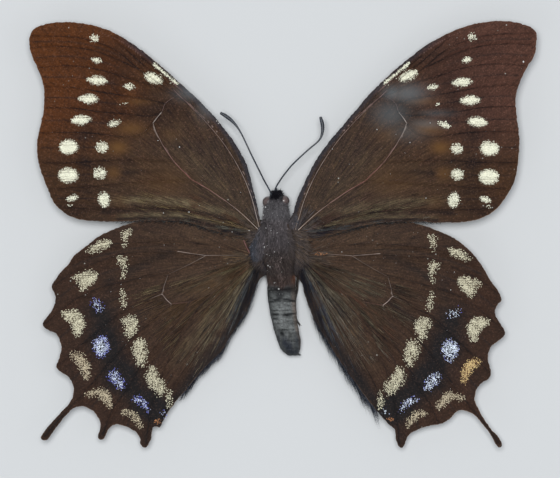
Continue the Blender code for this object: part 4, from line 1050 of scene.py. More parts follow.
# The skin: at a place ahead and a turn round the body, a rounded-square ring whose half width, lowest and
# highest points come from the stations, less the coat's depth. The abdomen's rings each swell towards their
# rear rim and drop into the next ring's groove.
def skinPoint(ahead, turn, grow=0.0):
    centre, half, low, high, coat = (np.interp(ahead, bodyTable[:, 0], bodyTable[:, k]) for k in range(1, 6))
    bend = 2 / bodyShape["squareness"]
    wide = np.sign(np.cos(turn)) * np.abs(np.cos(turn)) ** bend
    tall = np.sign(np.sin(turn)) * np.abs(np.sin(turn)) ** bend
    step = np.zeros(np.shape(ahead))
    for end in segmentEnds:
        behind = end - ahead
        step = step - bodyShape["groove"] * bell(behind, bodyShape["grooveReach"]) * (behind > -0.02)
        step = step + bodyShape["rimStep"] * bell(ahead - end - 0.25, 0.5) * 0.5
    swell = grow - coat + step * (half > 0.8)
    x = centre + np.maximum(half + swell, 0.02) * wide
    z = (low + high) / 2 + np.maximum((high - low) / 2 + swell, 0.02) * tall
    return np.stack([x, np.broadcast_to(ahead, np.shape(x)), z], axis=-1)


# Square to the skin: the cross product of a small step along the body and a small step round it
def skinNormal(ahead, turn, step=0.02):
    alongBody = skinPoint(ahead + step, turn) - skinPoint(ahead - step, turn)
    around = skinPoint(ahead, turn + step) - skinPoint(ahead, turn - step)
    return unit(np.cross(alongBody, around))


# The line down the middle of the body, and a place's height on the body's unwrap
def bodyMiddle(ahead):
    return np.interp(ahead, bodyTable[:, 0], bodyTable[:, 1])


def bodyMap(ahead):
    return (ahead + 26) / 36


bodyLook = {
    "head": paint(26, 25, 31), "collar": paint(98, 96, 99), "thorax": paint(85, 80, 82),
    "rust": paint(94, 62, 46), "waist": paint(67, 59, 57), "shoulder": paint(73, 77, 86),
    "abdomen": paint(101, 104, 104), "tan": paint(122, 110, 102), "band": paint(18, 19, 22),
    "belly": paint(112, 108, 98), "night": paint(38, 42, 52),
    # how light the abdomen is from its front (11 behind) to its tip
    "behind": (11, 13, 14.5, 17, 19, 21, 23), "shade": (0.55, 0.72, 0.92, 0.98, 0.80, 0.62, 0.60),
}
# Dark marks of the abdomen: ahead, x, half length, half width, strength
abdomenMarks = [
    (-10.9, -0.2, 0.75, 3.1, 1.00), (-11.9, -0.6, 0.75, 0.9, 0.85), (-13.4, -2.3, 0.16, 0.7, 0.90),
    (-13.0, -1.5, 0.20, 0.7, 1.00), (-12.7, -0.8, 0.45, 0.5, 0.90), (-12.9, 0.6, 0.22, 0.9, 1.00),
    (-13.2, 1.9, 0.20, 0.9, 1.00), (-15.1, -1.5, 0.14, 0.7, 0.80), (-15.1, 0.6, 0.14, 0.8, 0.70),
    (-15.9, -1.6, 0.22, 0.8, 1.00), (-16.0, 0.7, 0.34, 0.9, 1.00), (-15.8, 1.9, 0.18, 0.8, 0.90),
    (-16.8, -1.5, 0.20, 0.7, 0.90), (-17.8, -1.1, 0.16, 0.5, 0.60), (-19.0, 0.1, 0.12, 1.0, 0.70),
    (-19.7, -0.2, 0.60, 0.42, 0.95), (-21.6, 0.3, 1.1, 0.60, 0.85), (-22.4, 1.2, 1.2, 0.75, 0.90),
    (-23.5, 2.2, 0.7, 1.2, 0.75), (-21.4, 2.9, 1.8, 0.6, 0.50), (-20.4, 1.6, 0.35, 0.7, 0.35),
    (-21.2, -0.9, 1.8, 0.25, 0.60),
]


# The body's markings at given places, for skin and coat alike, with painted shade on the abdomen's left
# flank:
# tints laid one over another by smooth steps and bell curves of the place
def bodyTint(place):
    x, ahead, up = place.T
    look = bodyLook
    tint = np.repeat(np.array(look["abdomen"][:3])[None], len(x), axis=0)
    tint = blend(tint, look["belly"], ramp(-up, -4.4, -3.4))
    rightward = x - bodyMiddle(ahead)
    tint = blend(tint, look["tan"], ramp(rightward, 1.5, 2.3) * 0.75)
    mottle = 1 + 0.34 * hills(ahead * 2.2, x * 0.9 + up, 0.50, 33) + 0.30 * hills(x, ahead, 0.22, 38)
    tint = tint * mottle[:, None]
    shade = np.interp(-ahead, look["behind"], look["shade"])
    # Painted shade: the abdomen's left flank is made darker by up to 35 per cent
    tint = tint * (shade * (1 - 0.35 * ramp(-rightward, 1.9, 2.6)))[:, None]
    for y, middle, length, width, strength in abdomenMarks:
        here = np.exp(-(((ahead - y) / length) ** 2) - np.abs((x - middle) / width) ** 3)
        tint = blend(tint, look["band"] if y > -21.2 else look["night"], strength * here * ramp(up, 4.5, 6.0))
    front = ramp(ahead, -10.6, -9.4)
    tint = blend(tint, look["thorax"], front)
    rust = bell(ahead + 8.0, 1.2) * ramp(x, 1.3, 2.2)
    tint = blend(tint, look["waist"], front * ramp(-ahead, 0.5, 5.0))
    tint = blend(tint, look["rust"], 0.75 * rust + 0.12 * bell(ahead + 9.0, 1.5))
    tint = blend(tint, look["collar"], ramp(ahead, 2.4, 3.8) * 0.9)
    leaning = ahead - 0.20 * (x + 1.2) + 0.35 * hills(x * 2.0, ahead * 0.8, 0.6, 37)
    tint = blend(tint, look["head"], ramp(leaning, 6.8, 7.5))
    lock = 0.22 * hills(x * 3.2, ahead * 1.3, 1.0, 31) * ramp(ahead, -10, -9) * (1 - ramp(ahead, 2.5, 4))
    return tint * (1 + lock + 0.10 * hills(ahead, x + up, 0.9, 35))[:, None]


# The skin as rings from the tail to the head, closed a little beyond its first and last ring
def addBodySkin():
    ahead = np.linspace(bodyTable[0, 0], bodyTable[-1, 0], bodyShape["rings"])
    turn = np.arange(bodyShape["sides"]) * 2 * np.pi / bodyShape["sides"]
    v, u = np.meshgrid(ahead, turn, indexing="ij")
    rings = skinPoint(v, u).reshape(-1, 3)
    ends = np.array([rings[: bodyShape["sides"]].mean(axis=0), rings[-bodyShape["sides"]:].mean(axis=0)])
    points = np.vstack([rings, ends + [(0, -0.05, 0), (0, 0.05, 0)]])
    sheet = Sheet("body skin", 0.66, Specular_IOR_Level=0.12)
    place = sheet.place()
    grain = sheet.noise(place, 2400.0, 3.0)
    cells = sheet.cells(place, 3600.0)
    colour = sheet.toned(sheet.field("tint", "Color"), grain * 0.7 + cells * 0.5 + 0.40)
    finish = sheet.wearing(colour, None, grain + cells, 0.00004, 0.8)
    addPiece("body_skin", points, closedRings(len(ahead), len(turn)), finish,
             replaces=("head", "thorax", "abdomen"), colours=bodyTint(points))


addBodySkin()
print("body skin built")


# Random places on the body skin between two stations and two turns, with their normals and unwrapped places
def bodyPlaces(draw, count, aheadRange, turnRange, sink=0.08):
    ahead = draw.uniform(*aheadRange, count)
    turn = np.radians(draw.uniform(*turnRange, count))
    normal = skinNormal(ahead, turn)
    root = skinPoint(ahead, turn) - normal * sink
    return root, normal, np.column_stack([(turn / (2 * np.pi)) % 1.0, bodyMap(ahead)])


hair = hairFinish("body hair")
blackHair = hairFinish("black hair", 0.5, 1.4, 0.8)
backward = np.array([0.0, -1.0, 0.0])

# Coats of the body: places from station to station and turn to turn, count, length, width, how far the hair
# stands out, how much it lies backward and towards the middle, tint factor and how much the tint varies
bodyCoats = {
    "thorax_fur": {
        "ahead": (-9.4, 4.9), "turn": (-20, 200), "count": 10400, "length": (0.55, 1.25), "width": 0.10,
        "stand": 0.55, "back": 0.9, "inward": 0.5, "tone": 0.98, "vary": 0.46, "seed": 1},
    "breast_fur": {
        "ahead": (-9.0, 4.9), "turn": (200, 340), "count": 3000, "length": (0.7, 1.3), "width": 0.12,
        "stand": 0.30, "back": 1.0, "inward": 0.0, "tone": 1.1, "vary": 0.35, "seed": 2},
    "waist_fur": {
        "ahead": (-9.4, -3.6), "turn": (5, 175), "count": 3000, "length": (1.1, 2.0), "width": 0.085,
        "stand": 0.36, "back": 0.9, "inward": 1.7, "tone": 1.3, "vary": 0.85, "seed": 3},
    "collar_fur": {
        "ahead": (3.2, 7.0), "turn": (0, 360), "count": 3800, "length": (0.4, 0.85), "width": 0.095,
        "stand": 0.75, "back": 0.6, "inward": 0.0, "tone": 1.0, "vary": 0.34, "seed": 4},
    "abdomen_scales": {
        "ahead": (-24.0, -9.9), "turn": (0, 360), "count": 8600, "length": (0.26, 0.44), "width": 0.17,
        "stand": 0.10, "back": 1.0, "inward": 0.0, "tone": 1.05, "vary": 0.22, "seed": 5},
}


# A coat: each tuft lies along its normal, backward and to the middle line as far as the dictionary says
def addBodyCoat(name, coat):
    draw = np.random.default_rng(coat["seed"])
    count = coat["count"]
    root, normal, spot = bodyPlaces(draw, count, coat["ahead"], coat["turn"])
    sway = draw.normal(0, 0.22, (count, 3))
    lie = normal * coat["stand"] + backward * coat["back"] + sway * (0.3 if "scales" in name else 1.0)
    lie[:, 0] -= coat["inward"] * np.clip((root[:, 0] - bodyMiddle(root[:, 1])) / 2, -1, 1)
    length = draw.uniform(*coat["length"], count)
    width = coat["width"] * draw.uniform(0.7, 1.3, count)
    bend = backward * 0.25 - normal * 0.12
    tone = coat["tone"] * np.exp(draw.normal(0, coat["vary"], count))
    tint = bodyTint(root + backward * 0.15) * tone[:, None]
    addTufts(name, root, lie, normal, length, width, bend, tint, spot, hair, flat=0.35)


for name, coat in bodyCoats.items():
    addBodyCoat(name, coat)


# The black tuft at the front of the head: hairs that stand forward and up, their lie shared by locks. Name,
# count, stations, turns, lie and length.
headTufts = (("head_tuft", 2300, (7.2, 8.45), (-10, 190), (0.06, 0.40, 0.25), (0.35, 0.95)),
             ("face_hair", 900, (6.8, 8.6), (190, 350), (0.0, 0.45, -0.45), (0.45, 0.8)),
             ("crown_fur", 1700, (5.8, 7.5), (0, 180), (0.0, -0.2, 0.4), (0.45, 0.8)))


def addHeadTuft():
    draw = np.random.default_rng(9)
    for name, count, aheadRange, turnRange, lie, length in headTufts:
        root, normal, spot = bodyPlaces(draw, count, aheadRange, turnRange)
        lock = hills(root[:, 0] * 1.6, root[:, 2] + root[:, 1] * 0.5, 0.40, 44)
        way = np.array(lie) + normal * (0.30, 0.75, 0.75) + draw.normal(0, 0.34, (count, 3))
        way = way + lock[:, None] * (0.16, 0.1, 0.0)
        tint = bodyTint(root) * np.exp(draw.normal(0, 0.45, (count, 1)))
        reach = draw.uniform(*length, count) * (1 + 0.6 * lock)
        if name != "crown_fur":
            reach = reach * (0.30 + 0.85 * bell(root[:, 0] + 0.9, 1.1))
        addTufts(name, root, way, normal, reach, 0.085 * draw.uniform(0.7, 1.3, count),
                 backward * 0.1, tint, spot, blackHair)


addHeadTuft()
print("body furred")


# Shoulder covers: a low oval pad over each forewing root, its height the square root of one less the squared
# distance from its middle, under long flat bluish hairs that lie back and out
shoulders = {
    "left": {"side": -1, "middle": (-4.5, -1.1), "reach": (1.62, 3.7), "base": 9.15, "rise": 0.90,
             "lean": 0.19, "count": 4200},
    "right": {"side": 1, "middle": (2.2, 2.7), "reach": (1.0, 1.7), "base": 9.15, "rise": 0.34,
              "lean": 0.25, "count": 2300},
}


# The pad narrows towards the front, like an egg
def padWidth(pad, ahead):
    return pad["reach"][0] * (1 - 0.20 * np.clip((ahead - pad["middle"][1]) / pad["reach"][1], -1, 1))


# Its middle line leans to the right in front
def padMiddle(pad, ahead):
    return pad["middle"][0] + pad["lean"] * (ahead - pad["middle"][1])


def padHeight(pad, x, ahead):
    far = ((x - padMiddle(pad, ahead)) / padWidth(pad, ahead)) ** 2
    far = far + ((ahead - pad["middle"][1]) / pad["reach"][1]) ** 2
    return pad["base"] + pad["rise"] * np.sqrt(np.clip(1 - far, 0, 1))


# Straight up, once for each tuft
def upward(count):
    return np.repeat([[0.0, 0.0, 1.0]], count, axis=0)


# The pad is a ball stretched to its reach and rise. Its hairs turn bluish outwards.
def addShoulder(sideName, pad, finish, seed):
    draw = np.random.default_rng(seed)
    shell, faces = ball(23, 48)
    points = np.array([*pad["middle"], pad["base"]]) + shell * (*pad["reach"], pad["rise"] - 0.12)
    points[:, 0] = padMiddle(pad, points[:, 1]) + shell[:, 0] * padWidth(pad, points[:, 1])
    tint = np.repeat([bodyLook["thorax"][:3]], len(points), axis=0) * 0.6
    addPiece("shoulder_pad_" + sideName, points, faces, finish, colours=tint)
    count = pad["count"]
    spin, far = draw.uniform(0, 2 * np.pi, count), np.sqrt(draw.uniform(0, 1, count))
    ahead = pad["middle"][1] + pad["reach"][1] * far * np.sin(spin) * 1.1 + 0.3
    x = padMiddle(pad, ahead) + padWidth(pad, ahead) * far * np.cos(spin)
    root = np.column_stack([x, ahead, padHeight(pad, x, ahead) - 0.12])
    lie = np.column_stack([pad["side"] * draw.normal(0.22, 0.34, count), draw.normal(-0.9, 0.16, count),
                           draw.uniform(-0.10, 0.24, count)])
    lift = upward(count)
    outward = pad["side"] * (x - pad["middle"][0]) / pad["reach"][0]
    outward = ramp(outward + draw.normal(0, 0.35, count), -0.2, 1.0)
    tint = blend(np.repeat([bodyLook["thorax"][:3]], count, axis=0), bodyLook["shoulder"], outward)
    tint = tint * np.exp(draw.normal(0, 0.48, (count, 1)))
    spot = np.column_stack([0.5 + 0.45 * far * np.cos(spin), 0.5 + 0.45 * far * np.sin(spin)])
    addTufts("shoulder_hair_" + sideName, root, lie, lift, draw.uniform(0.5, 1.15, count),
             0.095 * draw.uniform(0.7, 1.3, count), lift * -0.06, tint, spot, hair, flat=0.4)


# Hair from the thorax's flanks out over the wing roots: it leans out in front and back behind. Shares of the
# three tones by side, and a line on the left that stays clear of it.
rootHair = {"ahead": (-7.4, 1.0), "count": 4400, "length": (0.9, 2.1), "width": 0.065, "up": 9.25,
            "shares": {-1: (0.40, 0.20, 0.40), 1: (0.50, 0.32, 0.18)},
            "tones": (paint(94, 85, 82), paint(104, 88, 74), paint(46, 43, 47)),
            "clear": [(-7.9, -0.9), (-7.0, -3.0), (-6.2, -4.3)]}


def addRootHair(side, sideName, seed):
    draw = np.random.default_rng(seed)
    count = rootHair["count"]
    ahead = draw.uniform(*rootHair["ahead"], count)
    width = np.interp(ahead, bodyTable[:, 0], bodyTable[:, 2])
    beyond = draw.uniform(0, 1, count) ** 1.4 * 2.2 * ramp(ahead, -8.2, -4.6)
    x = bodyMiddle(ahead) + side * (width - 0.5 + beyond)
    back = 1 - ramp(ahead, -8, 2)
    drop = 0.30 * ramp(-ahead, 2, 5) + 0.5 * ramp(-ahead, 5, 9) - 0.32 * ramp(ahead, -2.2, 0)
    root = np.column_stack([x, ahead, rootHair["up"] - drop])
    lie = np.column_stack([side * (0.95 - 0.35 * back), -0.15 - 0.85 * back, np.full(count, 0.03)])
    onBody = draw.uniform(0, 1, count) < 0.55
    turn = np.radians(90 - side * draw.uniform(34, 80, count))
    root = np.where(onBody[:, None], skinPoint(ahead, turn), root)
    lie[:, 2] -= 0.22 * onBody
    lie += draw.normal(0, 0.14, (count, 3)) * (1, 1, 0.5)
    length = draw.uniform(*rootHair["length"], count) * (0.6 + 0.4 * ramp(ahead, -7, -3))
    lift = upward(count)
    tint = np.array([t[:3] for t in rootHair["tones"]])[draw.choice(3, count, p=rootHair["shares"][side])]
    tint = blend(tint, rootHair["tones"][2], 0.75 * (1 - ramp(ahead, -7.0, -3.8)))
    tint = np.where(onBody[:, None], bodyTint(root) * 0.7 + tint * 0.35, tint)
    away = nearPath(root[:, :2] + lie[:, :2] * length[:, None] * 0.5, np.array(rootHair["clear"]))[0]
    length = np.where(away > 0.7, length, 0.15)
    spot = np.column_stack([0.5 + side * 0.2 + x * 0.02, bodyMap(ahead)])
    addTufts("root_hair_" + sideName, root, lie, lift, length,
             rootHair["width"] * draw.uniform(0.6, 1.3, count), lift * -0.05,
             tint * np.exp(draw.normal(0, 0.3, (count, 1))), spot, hair, flat=0.4)


padSkin = hairFinish("shoulder skin")
for number, (sideName, pad) in enumerate(shoulders.items()):
    addShoulder(sideName, pad, padSkin, 12 + number)
    addRootHair(pad["side"], sideName, 14 + number)


# Wing hair: places on a wing given by a fan from its root or by a path, each with its own lie, and with its
# root sunk into the upper side
def addWingHair(label, wing, spot, lie, length, width, rise, tint, bend):
    plan = wing["plan"]
    root = np.column_stack([plan["side"] * spot[:, 0], spot[:, 1], topLevel(wing, spot) - 0.05])
    way = np.column_stack([plan["side"] * lie[:, 0], lie[:, 1], rise])
    lift = upward(len(spot))
    addTufts(plan["name"] + "_" + label, root, way, lift, length, width, lift * -bend, tint,
             wingMap(*spot.T), hair)


# Fans of fine hair that spread from the root. Turns in degrees, reach and the most that a tip may reach, and
# tints, each with the turn round which it is common, how widely, and how often
hairFans = {
    "hindwing": {
        "hair": {"turns": (-87, -16), "reach": (1.0, 25), "most": 28, "count": 8300, "length": (2.0, 6.0),
                 "width": 0.055,
                 "tones": ((paint(27, 26, 32), -74, 7, 1.8), (paint(68, 74, 79), -66, 3.5, 1.1),
                           (paint(114, 107, 90), -57, 4, 1.0), (paint(36, 30, 30), -51.5, 2.6, 1.3),
                           (paint(104, 95, 74), -47.5, 2.4, 1.1), (paint(34, 28, 27), -43, 2.0, 0.8),
                           (paint(92, 60, 44), -40, 2.6, 0.45), (paint(86, 68, 50), -33, 14, 0.9),
                           (paint(38, 30, 28), -36, 22, 0.4), (paint(100, 92, 70), -32, 18, 0.35))},
        "base": {"turns": (-88, 62), "reach": (0.1, 6), "most": 9, "count": 2200, "length": (1.2, 3.0),
                 "width": 0.065,
                 "tones": ((paint(84, 74, 64), -20, 60, 1.0), (paint(104, 86, 66), 0, 40, 0.8),
                           (paint(34, 32, 38), -64, 36, 1.3))},
    },
    "forewing": {
        "hair": {"turns": (-6, 30), "reach": (1.5, 25), "most": 28, "count": 4400, "length": (1.4, 3.6),
                 "width": 0.05,
                 "tones": ((paint(32, 30, 36), 1, 3, 1.2), (paint(80, 83, 78), 6.5, 2.2, 0.9),
                           (paint(38, 31, 30), 10.5, 2.2, 1.2), (paint(110, 98, 70), 15, 3.2, 0.9),
                           (paint(46, 36, 32), 20, 3.0, 0.8), (paint(80, 58, 46), 25, 10, 0.9))},
        "base": {"turns": (-16, 78), "reach": (0.1, 4.5), "most": 7, "count": 1700, "length": (1.0, 2.6),
                 "width": 0.065,
                 "tones": ((paint(82, 74, 68), 20, 60, 1.0), (paint(98, 86, 70), 20, 30, 0.6),
                           (paint(38, 35, 38), 10, 40, 0.9))},
    },
}


# A fan keeps the hairs that stay on the wing and off its bare veins. A hair's tint is picked by a bell curve
# of its turn for each tone, and neighbours in a lock pick alike.
def addHairFan(wing, label, fan, seed):
    plan = wing["plan"]
    draw = np.random.default_rng(seed)
    count = fan["count"]
    turn = np.radians(draw.uniform(*fan["turns"], count))
    reach = fan["reach"][0] + (fan["reach"][1] - fan["reach"][0]) * draw.uniform(0, 1, count) ** 0.75
    spot = np.array(plan["root"]) + reach[:, None] * np.column_stack([np.cos(turn), np.sin(turn)])
    edge = smooth(plan["edge"] + plan["edge"][:1], 1.0)[:-1]
    length = draw.uniform(*fan["length"], count)
    lie = np.column_stack([np.cos(turn), np.sin(turn)]) + draw.normal(0, 0.045, (count, 2))
    length = np.minimum(length, fan["most"] * draw.uniform(0.62, 1, count) - reach)
    kept = insideRing(spot, edge) & insideRing(spot + lie * length[:, None], edge) & (length > 0.5)
    for points, _, start, *_ in plan["bare"]:
        if start > 0.55:
            kept &= nearPath(spot + lie * (0.4 * length)[:, None], smooth(points, 1.0))[0] > 0.35
    spot, lie, length, turn, reach = spot[kept], lie[kept], length[kept], turn[kept], reach[kept]
    degrees = np.degrees(turn)[:, None]
    centres, widths, shares = (np.array([tone[k] for tone in fan["tones"]]) for k in (1, 2, 3))
    weight = shares * bell(degrees - centres, widths) + 1e-6
    lock = hills(turn * 44, reach * 0.08, 1.0, seed)[:, None] * 1.2 + draw.normal(0, 0.35, (len(spot), 1))
    steps = np.cumsum(weight, axis=1) / weight.sum(axis=1, keepdims=True)
    pick = np.sum(np.clip(0.5 + 0.5 * lock, 0.001, 0.999) > steps, axis=1)
    tint = np.array([tone[0][:3] for tone in fan["tones"]])[pick]
    tint = tint * np.exp(draw.normal(0, 0.42, (len(spot), 1)))
    tint = tint * ((0.94, 0.97, 1.12) if plan["side"] > 0 else (1.14, 1.08, 1.02))
    fall = wingShape["rearFall"] * np.minimum(np.sin(turn), 0) * plan["hind"]
    rise = wingShape["rise"] * np.cos(turn) + fall + draw.uniform(0.0, 0.035, len(spot))
    width = fan["width"] * draw.uniform(0.7, 1.3, len(spot))
    addWingHair(label, wing, spot, lie, length, width, rise, tint, 0.01)


# Fringes: hairs set along a stretch of the wing's edge. Wing, name, path, count, lie, length, tints
fringes = [
    (3, "inner", [(3.8, -8.0), (4.6, -10.8), (6.5, -17.0), (8.9, -21.2), (12.2, -26.4), (15.4, -30.8),
                  (18.0, -34.2)], 1900,
     (0.30, -0.95), (1.2, 5.4), (paint(44, 47, 56), paint(25, 25, 30), paint(92, 99, 112))),
    (1, "inner", [(4.5, -7.4), (5.2, -9.6), (7.2, -15.0), (10.0, -19.2), (12.4, -23.2), (16.2, -27.0),
                  (19.5, -31.0)], 2600,
     (0.44, -0.89), (1.2, 3.6), (paint(36, 36, 42), paint(24, 23, 27), paint(88, 94, 108))),
    (0, "rear", [(6.6, -0.4), (13.6, 1.2), (19.6, 2.9), (26.6, 3.2), (33.0, 3.0)], 1300,
     (0.88, -0.42), (0.5, 1.3), (paint(32, 30, 33), paint(70, 75, 76), paint(24, 22, 26))),
    (2, "rear", [(4.6, -0.7), (11.0, 0.8), (17.2, 2.4), (24.2, 3.0), (31.0, 2.8)], 1300,
     (0.88, -0.42), (0.5, 1.3), (paint(32, 30, 33), paint(70, 76, 78), paint(24, 22, 26))),
]


# A fringe: random places along the smoothed path, their lengths patchy
def addFringe(number, name, path, count, lie, lengths, tones, seed):
    draw = np.random.default_rng(seed)
    line = smooth(path, 0.4)
    pick = draw.uniform(0, len(line) - 1.001, count)
    low = pick.astype(int)
    spot = line[low] + (line[low + 1] - line[low]) * (pick - low)[:, None] + draw.normal(0, 0.28, (count, 2))
    spot[:, 0] += 0.25
    way = np.array(lie) + draw.normal(0, 0.09, (count, 2))
    patch = 0.70 + 0.45 * hills(pick, pick * 0, 1.3, seed)
    length = lengths[0] + (lengths[1] - lengths[0]) * draw.uniform(0, 1, count) ** 1.6 * patch
    tint = np.array([t[:3] for t in tones])[draw.choice(3, count, p=(0.45, 0.35, 0.20))]
    width = 0.045 * draw.uniform(0.7, 1.3, count)
    rise = draw.uniform(-0.08, 0.03, count)
    tint = tint * draw.uniform(0.7, 1.3, (count, 1))
    addWingHair(name + "_fringe", wings[number], spot, way, length, width, rise, tint, 0.03)


for number, wing in enumerate(wings):
    for label, fan in hairFans["hindwing" if wing["plan"]["hind"] else "forewing"].items():
        addHairFan(wing, label, fan, 70 + number + 10 * (label == "base"))
for number, row in enumerate(fringes):
    addFringe(*row, 90 + number)
print("wing hair laid")


# A tube along a path: rings of points across it, turned without twist, with a radius for each, closed by
# poles
def tubeShape(path, radius, sides):
    along = unit(np.gradient(path, axis=0))
    guide = (0.0, 0.0, 1.0) if np.abs(along[:, 2]).mean() < 0.8 else (1.0, 0.0, 0.0)
    side = unit(np.cross(along, guide))
    top = np.cross(side, along)
    turn = np.arange(sides) * 2 * np.pi / sides
    ring = side[:, None] * np.cos(turn)[:, None] + top[:, None] * np.sin(turn)[:, None]
    points = path[:, None] + ring * np.asarray(radius)[:, None, None]
    ends = np.array([path[0] - along[0] * radius[0] * 0.4, path[-1] + along[-1] * radius[-1] * 0.4])
    return np.vstack([points.reshape(-1, 3), ends]), closedRings(len(path), sides)


# The share of a path's length at each of its points
def shareAlong(path):
    run = runAlong(path)
    return run / run[-1]


# Horn: a dark tint with a paler bloom, and fine rings where the mesh says so
def hornFinish(name, base, bloom, roughness):
    sheet = Sheet(name, roughness, Specular_IOR_Level=0.5)
    grain = sheet.noise(sheet.place(), 2200.0, 3.0)
    tint = sheet.mixed(grain.between(0.42, 0.75) * 0.6, base, bloom)
    return sheet.wearing(tint, roughness + (grain - 0.5) * 0.3, grain, 0.00002, 0.6)


# The clasper at the tip of the abdomen: its path, its thickness and how much is left at its end
clasper = {"path": [(2.5, -23.2, 4.9), (2.9, -23.8, 4.8), (3.3, -24.1, 4.7), (3.6, -24.15, 4.6)],
           "radius": 0.34, "end": 0.06}


def addClasper():
    path = smooth(clasper["path"], 0.05)
    radius = clasper["radius"] * (1 - shareAlong(path)) ** 0.7 + clasper["end"]
    points, faces = tubeShape(path, radius, 16)
    horn = hornFinish("clasper horn", paint(40, 40, 44), paint(84, 84, 84), 0.6)
    addPiece("clasper", points, faces, horn)


addClasper()


# The hindwing's foremost vein, bare and pink, is seen at the left root
def addRootVein():
    line = smooth([(7.9, -1.0), (7.0, -3.0), (6.1, -4.4)], 0.1)
    path = np.column_stack([-line[:, 0], line[:, 1], topLevel(wings[1], line) + 0.08])
    points, faces = tubeShape(path, np.full(len(path), 0.085), 12)
    horn = hornFinish("bare vein", paint(112, 70, 70), paint(158, 112, 108), 0.6)
    addPiece("hindwing_left_root_vein", points, faces, horn)


addRootVein()
feelerHorn = hornFinish("feeler horn", paint(26, 30, 38), paint(70, 82, 98), 0.45)
legHorn = hornFinish("leg horn", paint(34, 28, 26), paint(96, 84, 70), 0.55)

# Antennae: (x, ahead) from the head outwards, then the height inside the head, at the middle and at the tip
feelers = {
    "left": [(-2.0, 7.2), (-2.6, 8.8), (-3.7, 10.8), (-4.8, 13.0), (-6.1, 15.6), (-7.6, 18.8), (-8.4, 20.4),
             (-9.3, 21.8), (-10.4, 23.0), (-11.6, 23.9), (-12.5, 24.4)],
    "right": [(-1.4, 7.2), (-1.6, 9.0), (-0.4, 11.2), (0.8, 12.8), (2.0, 14.2), (5.0, 17.0), (7.0, 18.7),
              (7.6, 19.6), (7.9, 20.8), (7.9, 22.0), (7.5, 23.6)],
    "heights": (7.6, 10.4, 10.0), "shaft": 0.155, "club": 0.36, "clubFrom": 0.70, "ringLength": 0.34,
}


# The antenna: rings of horn, each a little fuller at its far end, on a shaft that swells into the club
def addFeeler(sideName):
    path = smooth(feelers[sideName], 0.06)
    share = shareAlong(path)
    up = np.interp(share, (0, 0.5, 1), feelers["heights"])
    swell = ramp(share, feelers["clubFrom"], 0.93) ** 1.2 * (1 - 0.45 * ramp(share, 0.955, 1.0))
    radius = feelers["shaft"] + (feelers["club"] - feelers["shaft"]) * swell
    phase = (share * runAlong(path)[-1] / feelers["ringLength"]) % 1.0
    radius = radius * (0.93 + 0.13 * phase**0.7)
    points, faces = tubeShape(np.column_stack([path, up]), radius, 20)
    addPiece("feeler_" + sideName, points, faces, feelerHorn, replaces=("antenna_" + sideName,))


for sideName in ("left", "right"):
    addFeeler(sideName)

# Eyes: domes of small facets, a little taller than wide
eyes = {"left": (-2.95, 6.60, 6.6), "right": (0.14, 6.85, 6.6), "radii": (1.15, 1.18, 1.42)}


# Facets as small round cells, over a paler front
def eyeFinish():
    sheet = Sheet("eye", 0.30, Specular_IOR_Level=0.5, Coat_Weight=0.25, Coat_Roughness=0.15)
    place = sheet.place()
    facet = sheet.cells(place, 8200.0)
    front = sheet.noise(place, 420.0, 2.0).between(0.35, 0.65)
    tint = sheet.mixed(front, paint(88, 72, 70), paint(134, 119, 117))
    tint = sheet.mixed(facet.between(0.25, 0.6) * 0.40, tint, paint(44, 37, 38))
    return sheet.wearing(tint, None, 1 - facet, 0.00002, 0.6)


# A ball stretched to three radii, with its poles in front and behind
def addEye(sideName, finish):
    shell, faces = ball(39, 64, (0, 2, 1))
    points = np.array(eyes[sideName]) + shell * eyes["radii"]
    addPiece("eye_dome_" + sideName, points, faces, finish, replaces=("eye_" + sideName,))


eyeGlass = eyeFinish()
for sideName in ("left", "right"):
    addEye(sideName, eyeGlass)

# The tongue, a flat coil under the head, ringed
tongue = {"middle": -1.35, "centre": (8.0, 3.3), "outer": 1.45, "inner": 0.36, "turns": 1.9,
          "radius": 0.21, "start": (7.8, 5.9), "points": 560, "ringLength": 0.16}


# A spiral whose reach shrinks evenly with its turn, after a straight stem from the head
def addTongue():
    count = tongue["points"]
    turn = np.radians(70) - np.linspace(0, tongue["turns"] * 2 * np.pi, count)
    reach = np.linspace(tongue["outer"], tongue["inner"], count)
    coil = np.column_stack([np.full(count, tongue["middle"]), tongue["centre"][0] + reach * np.cos(turn),
                            tongue["centre"][1] + reach * np.sin(turn)])
    stem = np.linspace((tongue["middle"], *tongue["start"]), coil[0], 20)[:-1]
    path = np.vstack([stem, coil])
    share = shareAlong(path)
    rings = np.cos(share * runAlong(path)[-1] * 2 * np.pi / tongue["ringLength"])
    radius = tongue["radius"] * (1 - 0.45 * share) * (0.95 + 0.07 * rings)
    points, faces = tubeShape(path, radius, 18)
    addPiece("tongue_coil", points, faces, feelerHorn, replaces=("proboscis",))


addTongue()

# Palps: a core with upward brushes of dark hair
palps = {"line": [(0.98, 6.9, 5.4), (0.95, 7.7, 4.5), (0.84, 8.3, 4.7), (0.66, 8.6, 5.4), (0.50, 8.45, 6.1)],
         "radii": (0.24, 0.32, 0.34, 0.30, 0.10), "middle": -1.35, "count": 700}


